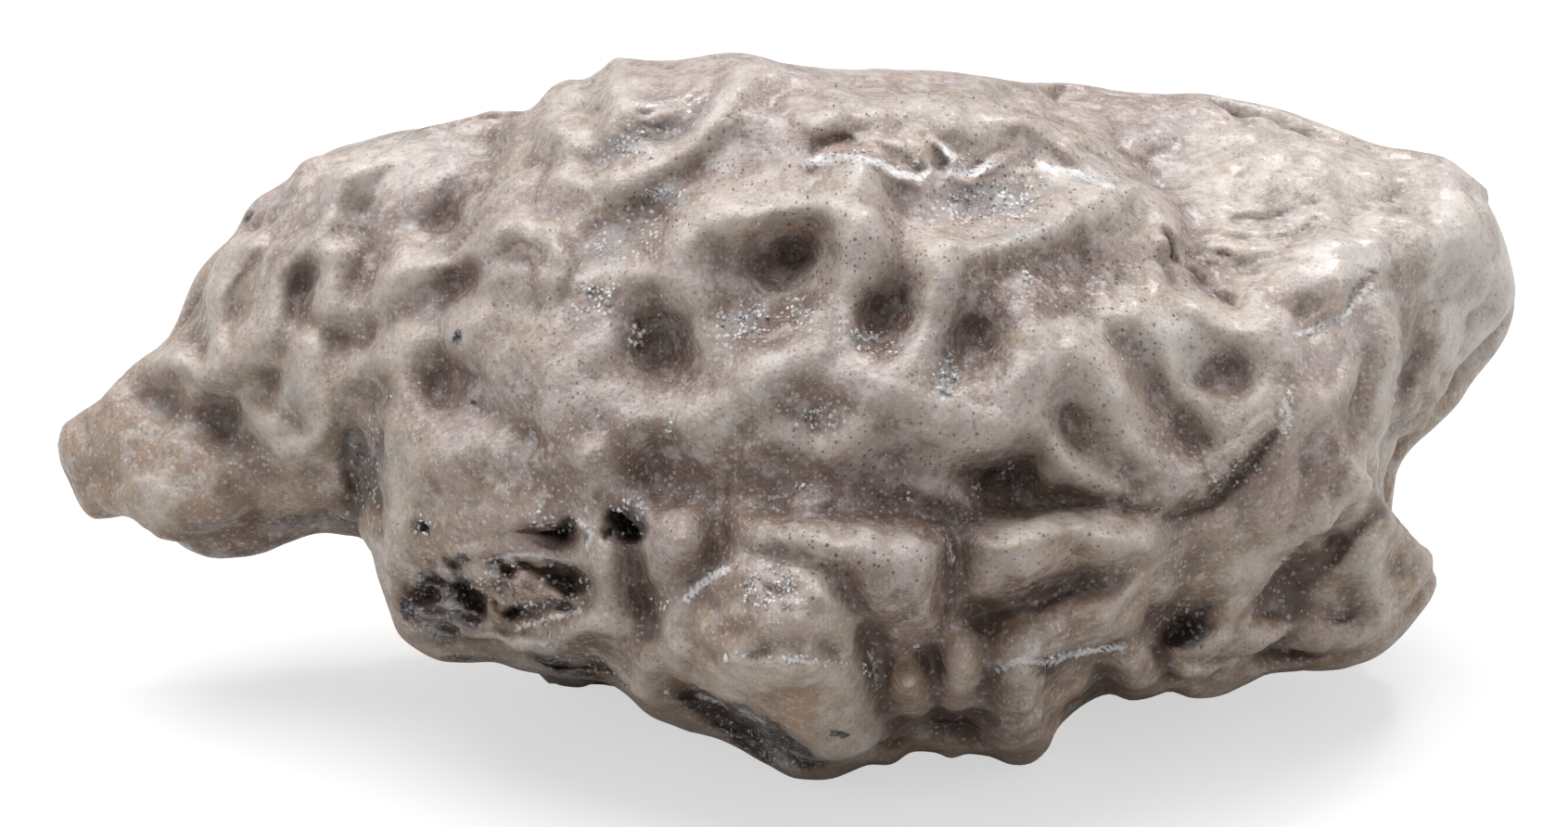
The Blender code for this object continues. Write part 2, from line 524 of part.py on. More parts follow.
def formed(base, station, angle):
    """The loft with its forms: the face moves only towards the viewer or away, so that the outline stays,
    and the hidden sides move square to the surface, behind the outline only."""
    x, y = base[..., 0], base[..., 1]
    normal = outward(base)
    frontness = np.sin(angle)
    steepness = np.clip(-normal[..., 2], 0.5, 1)
    bent_x, bent_y = [
        value + BEND * swelling(base, BEND_WAVELENGTH, seed) for value, seed in zip((x, y), BEND_SEEDS)
    ]
    raised = broad_relief(x, y) + fine_relief(bent_x, bent_y) / steepness
    room = SINKING_ROOM * (through(DEPTHS, 1, station) - base[..., 2]) + 1e-6
    raised = np.where(raised < 0, -room * np.tanh(-raised / np.abs(room)), raised)
    points = base.copy()
    points[..., 2] -= raised * smooth_step(0, 0.3, frontness)
    hidden = smooth_step(0, 0.45, np.abs(frontness)) * (1 - smooth_step(0.1, 0.45, frontness))
    return points + normal * (rear_relief(base) * hidden)[..., None]


def stone_grid(rows, columns):
    """The finished stone's points in face units: the formed loft, with soft lumps square to the loft."""
    station, angle = grid_places(rows, columns)
    base = loft(station, angle)
    at_ends = smooth_step(0, 3, station) * smooth_step(0, 3, 100 - station)
    points = base + (formed(base, station, angle) - base) * at_ends[..., None]
    lumps = sum(height * swelling(points, wavelength, seed) for wavelength, height, seed in SWELLINGS)
    off_edge = OUTLINE_SHARE + (1 - OUTLINE_SHARE) * smooth_step(0, 0.35, np.abs(np.sin(angle)))
    return points + outward(base) * (lumps * off_edge * at_ends)[..., None]


def turned(x, y, w):
    """Face units to metres, with the face leaning back; the height still counts from the face's zero."""
    up, back = -y * UNIT, w * UNIT
    middle = (LEFT_TIP[0] + RIGHT_END[0]) / 2
    across = (x - middle) * UNIT
    return np.stack(
        [across, up * math.sin(LEAN) + back * math.cos(LEAN), up * math.cos(LEAN) - back * math.sin(LEAN)],
        axis=-1,
    )


def at_rest(points):
    """The stone in metres over its resting place, with what would pass through the surface worn flat."""
    placed = turned(points[..., 0], points[..., 1], points[..., 2])
    placed[..., 2] = np.maximum(placed[..., 2] - turned(*np.array(FLOOR_POINT))[2], 0)
    lowest, highest = placed.min((0, 1)), placed.max((0, 1))
    placed[..., :2] -= (lowest[:2] + highest[:2]) / 2
    return placed


def closed_mesh(name, grid):
    """A closed mesh from a grid that wraps round in its second direction and meets in a point at each end."""
    rows, columns = grid.shape[0] - 1, grid.shape[1]
    inner = grid[1:rows].reshape(-1, 3)
    points = np.concatenate([inner, grid[:1, 0], grid[rows:, 0]])
    left_tip, right_end = len(inner), len(inner) + 1
    place = np.arange(rows - 1)[:, None] * columns + np.arange(columns)[None, :]
    following = np.roll(place, -1, axis=1)
    around = np.stack([place[:-1], following[:-1], following[1:], place[1:]], axis=-1).reshape(-1, 4)
    left_fan = [(left_tip, b, a) for a, b in zip(place[0].tolist(), following[0].tolist())]
    right_fan = [(right_end, a, b) for a, b in zip(place[-1].tolist(), following[-1].tolist())]
    mesh = bpy.data.meshes.new(name)
    mesh.from_pydata(points.tolist(), [], around.tolist() + left_fan + right_fan)
    return mesh


def with_fewer_faces(thing):
    """The thing's mesh with large faces where it is nearly flat, centred, and with its worn flats level."""
    thinning = thing.modifiers.new("fewer faces", "DECIMATE")
    thinning.ratio = TRIANGLES / (2 * len(thing.data.polygons))
    thinning.use_collapse_triangulate = True
    thinned = bpy.data.meshes.new_from_object(thing.evaluated_get(bpy.context.evaluated_depsgraph_get()))
    thing.modifiers.remove(thinning)
    points = np.array([vertex.co for vertex in thinned.vertices])
    points[:, :2] -= (points.min(0) + points.max(0))[:2] / 2
    points[points[:, 2] < LEVEL_WITHIN, 2] = 0
    thinned.vertices.foreach_set("co", points.ravel())
    thinned.shade_smooth()
    return thinned


def stone_material():
    """Weathered, slightly waxy brown-grey stone."""
    material = bpy.data.materials.new("weathered_stone")
    material.use_nodes = True
    shader = material.node_tree.nodes["Principled BSDF"]
    shader.inputs["Base Color"].default_value = STONE_COLOUR
    shader.inputs["Roughness"].default_value = STONE_ROUGHNESS
    shader.inputs["Metallic"].default_value = 0.0
    return material


def clear_scene():
    for thing in list(bpy.data.objects):
        bpy.data.objects.remove(thing)


def build_fossil():
    fossil = bpy.data.objects.new("fossil", closed_mesh("fine_stone", at_rest(stone_grid(ROWS, COLUMNS))))
    bpy.context.scene.collection.objects.link(fossil)
    fossil.data = with_fewer_faces(fossil)
    fossil.data.materials.append(stone_material())


clear_scene()
build_fossil()
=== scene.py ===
"""Looks of the crinoid fossil: a fine skin of stone with its stains, holes and crystals, on a pale floor.

The skin is worked out in face units, the pixels of the photographed face seen square on: x to the right,
y down, w away from the viewer. It has the same named forms as the part's source, at a finer pitch, plus the
small holes, cracks and rough patches that are left to the looks.
"""

import math

import bpy
import numpy as np
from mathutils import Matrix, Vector


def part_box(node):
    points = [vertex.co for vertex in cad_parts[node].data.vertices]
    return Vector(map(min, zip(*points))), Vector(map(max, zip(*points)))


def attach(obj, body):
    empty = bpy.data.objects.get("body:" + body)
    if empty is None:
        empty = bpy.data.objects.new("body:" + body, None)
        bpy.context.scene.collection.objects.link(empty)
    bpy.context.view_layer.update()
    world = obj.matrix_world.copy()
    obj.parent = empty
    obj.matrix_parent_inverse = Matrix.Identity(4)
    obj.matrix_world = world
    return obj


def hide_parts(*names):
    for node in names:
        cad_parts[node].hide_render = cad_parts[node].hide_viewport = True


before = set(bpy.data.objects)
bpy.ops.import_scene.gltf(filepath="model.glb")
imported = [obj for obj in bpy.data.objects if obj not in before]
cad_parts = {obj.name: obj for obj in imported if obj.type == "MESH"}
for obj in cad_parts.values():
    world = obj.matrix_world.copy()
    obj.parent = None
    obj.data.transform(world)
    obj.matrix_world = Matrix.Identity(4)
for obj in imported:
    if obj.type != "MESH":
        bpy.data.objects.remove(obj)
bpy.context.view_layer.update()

STONE_BOX = [np.array(corner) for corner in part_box("fossil")]

LEAN = math.radians(21)
FLOOR_POINT = (880.0, 850.0, 10.0)
PHOTO_WIDTH = 1691
PHOTO_HEIGHT = 892

ROWS = 330
COLUMNS = 298
FRONT_SHARE = 0.66
END_CROWDING = 0.03
AVERAGED_SHARE = 0.03
FRONT_ROUNDNESS = 0.92
BACK_ROUNDNESS = 0.80

# Each outline point is (station, x, y). The station runs from 0 at the left tip to 100 at the right end.
TOP_EDGE = [
    (0, 57, 480), (0.4, 61, 463), (1.2, 75, 450), (2.8, 100, 433), (4, 118, 418), (5, 133, 400),
    (6, 150, 385), (7.1, 168, 373), (7.9, 180, 360), (8.6, 187, 345), (9.4, 195, 325), (10.3, 206, 300),
    (11.5, 225, 275), (12.9, 250, 250), (13.8, 262, 228), (14.7, 275, 213), (15.8, 295, 201),
    (17.3, 320, 184), (19.2, 352, 164), (21.7, 395, 150), (24.3, 440, 140), (28, 500, 130),
    (31, 550, 121), (32.2, 570, 120), (33, 580, 113), (33.9, 592, 98), (35.1, 610, 88), (36.7, 635, 86),
    (37.7, 650, 76), (38.6, 663, 65), (39.4, 675, 65), (40.6, 695, 67), (42.8, 730, 64), (45, 765, 58),
    (47, 795, 56), (49.2, 825, 61), (51.5, 855, 69), (54, 885, 73), (59.5, 950, 75), (65, 1010, 76),
    (69.5, 1050, 81), (74, 1090, 86), (79, 1130, 88), (84, 1175, 91), (86, 1245, 100), (87.5, 1300, 100),
    (88.6, 1345, 106), (89.9, 1400, 121), (91.1, 1450, 140), (92.4, 1495, 157), (93.5, 1530, 161),
    (94.6, 1560, 167), (95.6, 1583, 180), (96.5, 1600, 198), (97.4, 1612, 220), (98.4, 1625, 250),
    (99.3, 1634, 280), (100, 1640, 310),
]
BOTTOM_EDGE = [
    (0, 57, 480), (0.6, 60, 498), (1.5, 70, 520), (2.4, 82, 545), (3.2, 95, 558), (4.1, 110, 559),
    (5.7, 140, 556), (6.8, 158, 563), (8.2, 180, 578), (9.5, 200, 593), (10.7, 220, 601), (12.4, 250, 602),
    (14.2, 280, 598), (16, 310, 585), (18, 345, 575), (19.5, 370, 577), (20.8, 392, 583), (21.6, 400, 596),
    (22.7, 408, 625), (23.8, 418, 655), (24.9, 428, 683), (25.9, 445, 698), (27.1, 470, 712),
    (28.6, 500, 715), (30.3, 532, 715), (31.9, 560, 722), (34.2, 600, 730), (38, 665, 743), (39, 680, 754),
    (40.2, 697, 770), (42.3, 730, 785), (45.4, 780, 800), (48.6, 830, 826), (50.3, 855, 838),
    (51.8, 880, 840), (53.3, 905, 837), (55, 935, 824), (56.6, 962, 823), (58.1, 985, 810),
    (59.4, 1010, 811), (60.3, 1025, 816), (61.4, 1045, 811), (62.6, 1070, 815), (63.7, 1090, 823),
    (64.8, 1110, 822), (66, 1128, 808), (67.1, 1138, 788), (68.1, 1155, 770), (69.9, 1195, 747),
    (71, 1220, 754), (72, 1245, 750), (72.7, 1262, 745), (73.6, 1285, 752), (74.7, 1315, 750),
    (75.9, 1345, 738), (76.7, 1365, 728), (77.9, 1400, 724), (79.7, 1455, 720), (80.6, 1480, 711),
    (81.4, 1500, 698), (82.5, 1525, 672), (83.6, 1548, 642), (84.1, 1552, 628), (84.7, 1545, 612),
    (85.4, 1530, 600), (86.3, 1515, 585), (87.5, 1505, 563), (88.9, 1507, 530), (90.2, 1515, 500),
    (92.2, 1550, 462), (93.7, 1577, 437), (95, 1595, 410), (96.8, 1620, 378), (98.3, 1635, 348),
    (100, 1640, 310),
]
# Each depth is (station, how far back the middle lies, half depth to the front, half depth to the back).
DEPTHS = [
    (0, 236, 0, 0), (0.5, 234, 26, 28), (1.5, 230, 44, 50), (4, 220, 80, 84), (9, 196, 122, 138),
    (15, 160, 172, 210), (22, 112, 220, 290), (30, 60, 276, 366), (40, 20, 326, 420), (50, 0, 346, 452),
    (60, 14, 360, 440), (68, 56, 372, 400), (74, 112, 384, 350), (78, 158, 392, 306), (84, 206, 384, 256),
    (89, 226, 346, 232), (93, 240, 290, 204), (96.5, 248, 200, 164), (98.8, 252, 104, 92),
    (99.6, 253, 56, 50), (100, 253, 0, 0),
]

# A broad form is (x, y, half length, half width, turn in degrees, rise). It sinks where the rise is negative.
BROAD_FORMS = {
    "middle swell": (900, 420, 330, 260, 0, 46),
    "upper right setback": (1390, 175, 230, 95, 8, -36),
    "right flank setback": (1570, 330, 90, 190, 0, -26),
    "lower right setback": (1400, 660, 190, 75, -8, -70),
    "right plate": (1430, 430, 75, 130, 20, 26),
    "left shoulder": (420, 260, 120, 110, -30, 30),
    "beak hollow": (330, 480, 90, 60, 0, -34),
    "beak lump": (195, 522, 58, 38, 10, 36),
    "cheek": (615, 420, 90, 85, 0, 34),
    "second cheek": (506, 494, 52, 42, -10, 34),
    "low cheek": (632, 498, 46, 32, 10, 26),
    "flank lump": (548, 540, 40, 24, -6, 20),
    "high cheek": (566, 392, 38, 40, 20, 16),
    "upper left lump": (572, 250, 60, 70, 20, 34),
    "crest swell": (880, 120, 260, 60, 4, 20),
    "left finger": (912, 612, 124, 66, 8, 72),
    "left finger's lower end": (976, 640, 46, 46, 0, 44),
    "right finger": (1140, 596, 106, 48, -3, 70),
    "scroll": (828, 708, 112, 90, 14, 94),
    "scroll swell": (842, 690, 70, 52, 14, 36),
    "small knob": (736, 588, 38, 48, 0, 62),
    "column": (656, 616, 29, 52, -8, 50),
    "broken flank": (560, 640, 80, 60, 10, 24),
    "black corner": (470, 650, 46, 56, -20, 10),
    "low shelf": (655, 700, 48, 32, 12, 22),
    "left foot knob": (983, 742, 27, 37, 0, 62),
    "middle foot knob": (1034, 716, 22, 46, 0, 58),
    "right foot": (1092, 770, 48, 52, -10, 62),
    "right haunch": (1156, 672, 100, 40, -20, 74),
    "heel knob": (1225, 730, 26, 24, 0, 34),
    "lobe knob": (1500, 690, 44, 34, -40, 24),
    "end lump": (1600, 380, 36, 60, 20, 24),
}

# A ridge is (rise, half width, the points along its crest).
RIDGES = {
    "brow of the great pit": (32, 29, [
        (737, 266), (745, 242), (780, 232),
        (825, 241), (880, 238), (922, 236),
    ]),
    "left wall of the great pit": (26, 32, [(737, 262), (742, 312), (758, 360), (778, 398), (812, 404)]),
    "right wall of the great pit": (34, 30, [
        (924, 190), (928, 250), (914, 305),
        (900, 350), (868, 384), (812, 404),
    ]),
    "strut": (34, 27, [(1022, 292), (1006, 334), (988, 380), (968, 424)]),
    "shelf": (30, 30, [(1000, 276), (1060, 264), (1112, 252), (1152, 230), (1205, 202)]),
    "upper shelf": (20, 23, [
        (872, 150), (905, 128), (1000, 119), (1080, 123),
        (1132, 142), (1168, 168), (1206, 198),
    ]),
    "link under the great pit": (18, 32, [(868, 384), (910, 398), (968, 424)]),
    "cheek seam": (22, 32, [(778, 398), (776, 436), (764, 480)]),
    "low ring": (16, 13, [(846, 452), (862, 470), (892, 476), (922, 468), (934, 448)]),
    "middle node": (34, 34, [(968, 424), (1014, 456), (1040, 452)]),
    "right node": (40, 38, [(1106, 392), (1084, 436), (1052, 470)]),
    "under node": (30, 26, [(1052, 470), (1104, 468), (1146, 500), (1190, 522)]),
    "pale rib": (32, 30, [(1142, 388), (1172, 418), (1200, 458), (1240, 492), (1282, 520)]),
    "second rib": (25, 27, [(1204, 330), (1244, 350), (1270, 394), (1300, 432), (1322, 474), (1318, 500)]),
    "third rib": (23, 29, [(1290, 336), (1322, 360), (1352, 392), (1360, 430), (1350, 470)]),
    "flat above the ribs": (6, 44, [(1130, 350), (1200, 330)]),
    "top of the left finger": (20, 24, [(796, 580), (850, 573), (930, 577), (1006, 594)]),
    "top of the right finger": (22, 20, [(1054, 574), (1120, 564), (1190, 565), (1234, 578)]),
    "edge of the right plate": (22, 20, [
        (1504, 346), (1500, 400), (1492, 452), (1484, 506),
        (1462, 546), (1420, 572), (1388, 612), (1330, 628),
    ]),
    "plate fold": (14, 18, [(1440, 400), (1416, 430), (1392, 470)]),
    "lip of the crack": (26, 16, [(1258, 232), (1266, 262), (1284, 288), (1304, 312), (1336, 312)]),
    "right brow": (26, 18, [(1300, 262), (1340, 270), (1380, 262)]),
    "white brow": (14, 13, [(1340, 262), (1370, 250), (1404, 242)]),
    "glossy swell": (20, 44, [(1392, 292), (1440, 276), (1474, 262)]),
    "right rear rib": (22, 16, [(1552, 346), (1556, 396), (1546, 440)]),
    "rear roll": (12, 44, [(1330, 218), (1420, 196), (1500, 180), (1570, 190)]),
    "rear roll lower": (16, 34, [(1470, 262), (1540, 262), (1600, 240)]),
    "lobe rib": (16, 24, [(1464, 590), (1484, 636), (1496, 666)]),
    "lobe hem": (12, 26, [(1300, 700), (1360, 690), (1420, 686), (1490, 672)]),
    "shiny haunch line": (8, 16, [(1068, 716), (1102, 704), (1150, 702), (1204, 686)]),
    "scroll rim": (8, 24, [(732, 672), (746, 634), (786, 608), (842, 606), (884, 626), (922, 664)]),
    "scroll band": (20, 26, [(792, 724), (850, 717), (904, 730), (928, 764), (910, 800)]),
    "right edge of the scroll": (16, 22, [(880, 628), (920, 664), (942, 712), (946, 760), (926, 806)]),
    "left edge of the scroll": (14, 18, [(694, 748), (704, 716), (724, 688), (732, 660)]),
    "flank hem": (20, 13, [(532, 684), (560, 697), (602, 688), (646, 666), (694, 660)]),
    "slit": (10, 22, [(700, 118), (728, 110), (760, 104)]),
    "band under the slit": (22, 24, [
        (806, 106), (772, 140), (738, 160),
        (708, 168), (662, 202), (606, 182),
    ]),
    "left crest": (20, 24, [(664, 70), (668, 110), (650, 140), (610, 150)]),
    "shell ring": (16, 18, [(528, 262), (548, 242), (580, 250), (600, 282), (596, 306)]),
    "left edge of the face": (26, 18, [(560, 190), (532, 208), (512, 236), (498, 264)]),
    "left edge below": (22, 18, [(530, 300), (516, 328), (502, 356)]),
    "pale tongue": (32, 26, [(500, 266), (462, 282), (430, 300), (404, 336)]),
    "tongue below": (24, 26, [(506, 344), (468, 352), (436, 366), (404, 400)]),
    "cheek brow": (6, 26, [(700, 300), (668, 292), (630, 302), (592, 322), (560, 338)]),
    "left rib": (30, 30, [(392, 168), (352, 206), (340, 250), (302, 286), (298, 344), (282, 384)]),
    "white rib": (34, 22, [(352, 270), (374, 290), (366, 330), (390, 344)]),
    "beak rib": (34, 23, [(338, 372), (332, 410), (344, 452), (318, 484), (276, 446)]),
    "outer rib": (30, 24, [(262, 262), (236, 300), (226, 350), (250, 392), (200, 400), (164, 376)]),
    "beak seam": (24, 22, [(156, 520), (172, 560)]),
    "chin": (18, 26, [(430, 470), (436, 520), (430, 566), (424, 604)]),
}

# A groove is (depth, half width, the points along its floor).
GROOVES = {
    "great seam": (32, 38, [(748, 522), (800, 514), (870, 512), (940, 520), (1012, 544)]),
    "great seam floor": (46, 15, [
        (800, 546), (860, 546), (940, 548), (1006, 553),
        (1034, 552), (1090, 543), (1160, 541), (1242, 552),
    ]),
    "between the fingers": (50, 16, [(1022, 530), (1034, 580), (1038, 630), (1030, 700)]),
    "under the right finger": (44, 17, [
        (1016, 706), (1040, 680), (1080, 656),
        (1120, 638), (1170, 620), (1250, 596),
    ]),
    "under the left finger": (22, 16, [
        (932, 684),
        (966, 702), (1000, 702), (1028, 688),
    ]),
    "round the scroll": (44, 13, [
        (722, 672), (756, 616), (800, 590), (850, 594),
        (898, 620), (940, 668), (962, 720), (966, 800),
    ]),
    "fold of the scroll": (14, 11, [(790, 706), (840, 694), (892, 698), (932, 716)]),
    "right of the scroll": (48, 17, [(924, 640), (954, 700), (960, 750), (958, 830)]),
    "between the foot knobs": (34, 11, [(1006, 676), (1009, 720), (1010, 760), (1012, 800)]),
    "left of the right foot": (36, 14, [(1074, 690), (1064, 740), (1050, 790), (1040, 830)]),
    "left of the left finger": (44, 20, [(760, 536), (782, 566), (780, 596), (752, 622), (722, 650)]),
    "left of the knob": (34, 15, [(700, 560), (692, 606), (700, 650), (690, 690)]),
    "left of the column": (26, 14, [(622, 580), (630, 610), (634, 650)]),
    "channel beside the pit": (10, 22, [(968, 200), (960, 250), (948, 300)]),
    "under the shelf": (10, 32, [(1020, 306), (1070, 304), (1120, 292), (1166, 268), (1204, 240)]),
    "slit floor": (24, 13, [(800, 94), (766, 120), (742, 143), (700, 152), (682, 168)]),
    "speckled channel": (14, 24, [
        (858, 214), (800, 196), (748, 196), (718, 214),
        (688, 240), (652, 268), (640, 300),
    ]),
    "under the cheek brow": (4, 22, [(664, 318), (624, 322), (590, 340), (560, 366)]),
    "chipped ledge": (7, 10, [(872, 178), (892, 166), (920, 166), (950, 172), (996, 184)]),
    "crack": (36, 12, [(1252, 258), (1260, 282), (1280, 296), (1294, 316), (1318, 328)]),
    "left side of the face": (36, 24, [(556, 146), (536, 190), (504, 226), (484, 250)]),
    "notch of the face": (32, 24, [(524, 284), (510, 300), (488, 330)]),
    "long left valley": (32, 22, [(486, 372), (484, 404), (500, 434), (548, 446), (576, 480), (600, 520)]),
    "throat": (30, 34, [(424, 462), (404, 500), (406, 546), (420, 582)]),
    "plate crevice": (18, 13, [(1378, 470), (1352, 490), (1326, 524), (1292, 548), (1250, 560)]),
    "plate crease": (12, 9, [(1400, 361), (1438, 346), (1456, 324), (1478, 294)]),
    "hollow by the crease": (18, 22, [(1372, 336), (1400, 336), (1420, 318)]),
    "right rear slot": (12, 22, [(1532, 350), (1530, 400), (1522, 442)]),
    "end notch": (14, 18, [(1588, 318), (1612, 340), (1630, 352)]),
    "under the plate": (44, 20, [(1478, 562), (1446, 574), (1418, 604), (1366, 640), (1330, 646)]),
    "black slot": (48, 16, [(1304, 650), (1276, 668), (1256, 696)]),
    "heel slot": (26, 10, [(1252, 700), (1256, 738)]),
    "lobe slot": (16, 14, [(1278, 716), (1318, 716), (1376, 712), (1420, 706)]),
    "flank shadow": (30, 14, [(590, 708), (640, 726), (684, 744)]),
    "valley by the beak": (24, 26, [(370, 250), (398, 290), (404, 330), (380, 366), (350, 400)]),
}

# A pit is (x, y, half length, half width, turn in degrees, depth).
PITS = {
    "great pit": (838, 324, 84, 68, -8, 60),
    "great pit head": (852, 280, 50, 26, 0, 34),
    "left pit": (726, 380, 43, 50, -14, 76),
    "left pit tail": (690, 396, 36, 34, 0, 18),
    "middle pit": (944, 340, 36, 44, 10, 66),
    "right pit": (1034, 372, 38, 44, 30, 62),
    "ring dish": (888, 446, 52, 26, 0, 14),
    "seam pit": (1068, 510, 46, 28, 4, 86),
    "first rib pit": (1150, 460, 32, 44, -36, 22),
    "second rib pit": (1248, 430, 40, 60, -42, 18),
    "third rib pit": (1322, 397, 32, 27, 0, 32),
    "seam end pit": (740, 508, 40, 40, 10, 48),
    "dish under the crest": (1066, 222, 76, 30, -6, 18),
    "small crest dish": (832, 124, 18, 20, 0, 7),
    "flat under the shelf": (1160, 310, 60, 30, -10, 12),
    "crystal pit": (644, 322, 36, 20, -8, 6),
    "left face pit": (480, 246, 34, 24, -6, 28),
    "chin pit": (492, 402, 28, 30, 10, 36),
    "chin pit two": (416, 420, 26, 28, 0, 26),
    "left pit by the rib": (327, 316, 28, 38, 8, 34),
    "beak pit": (300, 406, 36, 30, -20, 30),
    "beak pit two": (240, 448, 46, 30, 10, 30),
    "beak pit three": (164, 434, 30, 28, 0, 18),
    "beak end dish": (110, 510, 30, 26, 0, 12),
    "beak underside": (300, 560, 70, 18, -8, 24),
    "outer pit": (212, 330, 22, 36, 12, 20),
    "outer notch": (266, 238, 12, 14, 0, 26),
    "rear hollow": (1506, 231, 34, 18, 10, 12),
    "rear hollow two": (1272, 170, 34, 20, 0, 10),
    "rear hollow three": (1346, 164, 30, 20, 0, 10),
    "rear hollow four": (1556, 288, 30, 36, 0, 12),
    "lobe pit": (1446, 656, 34, 24, -8, 26),
    "lobe pit two": (1512, 620, 22, 26, 20, 20),
    "lobe pit three": (1396, 710, 40, 14, -6, 20),
    "lobe pit four": (1352, 666, 34, 22, -10, 10),
    "scroll cavity": (808, 784, 80, 24, 34, 74),
    "foot dish": (1090, 770, 22, 18, 0, 14),
    "foot shadow": (1010, 780, 46, 24, 0, 24),
    "black hole": (504, 642, 14, 40, -24, 36),
    "black hole two": (462, 640, 24, 26, 0, 30),
    "flank hole": (680, 560, 20, 17, 20, 40),
    "flank hole two": (606, 567, 20, 12, 0, 36),
    "flank break": (562, 628, 70, 28, 14, 18),
    "flank slot": (616, 626, 26, 12, 20, 22),
}

# A step is (drop, half width, reach, the points along its brink). The ground falls away on the right of the
# points as they are followed, comes back slowly over the reach, and the drop tapers off at both ends.
STEPS = {
    "back brink": (84, 18, 220, [
        (1330, 372), (1298, 320), (1272, 268), (1254, 214),
        (1222, 171), (1178, 136), (1123, 106), (1013, 46),
    ]),
    "left brink": (60, 22, 190, [
        (640, -40), (598, 50), (562, 120), (532, 188),
        (510, 256), (502, 316), (498, 372), (494, 430),
    ]),
    "right plate brink": (66, 13, 150, [
        (1330, 660), (1400, 604), (1440, 574), (1478, 530), (1490, 470), (1502, 400), (1506, 330),
        (1500, 270),
    ]),
}
STEP_TAPER = 0.16
# The share of a line's length over which it fades, and the share of a groove's depth that is left at
# its ends.
END_FADE = 0.3
GROOVE_ENDS = 0.15
# How flat the tops of the broad forms and the floors of the pits are: 2 is a plain bell.
BROAD_POWER = 2.4
PIT_POWER = 2.3
# The share of the stone's depth in front of its outline that the face may sink by.
SINKING_ROOM = 0.8

# A rear lump is (x, y, w, radius, rise). The two feet hold the stone level with the scroll at its front.
REAR_LUMPS = {
    "left rear foot": (640, 661, 309, 105, 74),
    "right rear foot": (1235, 667, 350, 105, 58),
    "rear crown": (900, 250, 410, 160, 36),
    "rear shoulder": (560, 330, 330, 120, 30),
    "right rear hump": (1260, 320, 400, 130, 30),
}
PLATE_ROWS = 11
PLATES_AROUND = 12
PLATE_PIT_DEPTH = 44.0
PLATE_RIDGE_WIDTH = 30.0
PLATE_SEED = 12
# Each set of soft lumps is (wavelength, height, seed).
SWELLINGS = [(170, 15, 3), (84, 10, 5), (46, 5, 8)]
# How far chance bends the lines of the face sideways, over what wavelength, and the seeds of the two bends.
BEND = 14.0
BEND_WAVELENGTH = 80.0
BEND_SEEDS = (21, 22)
# The share of the soft lumps' height that is left on the outline.
OUTLINE_SHARE = 0.15

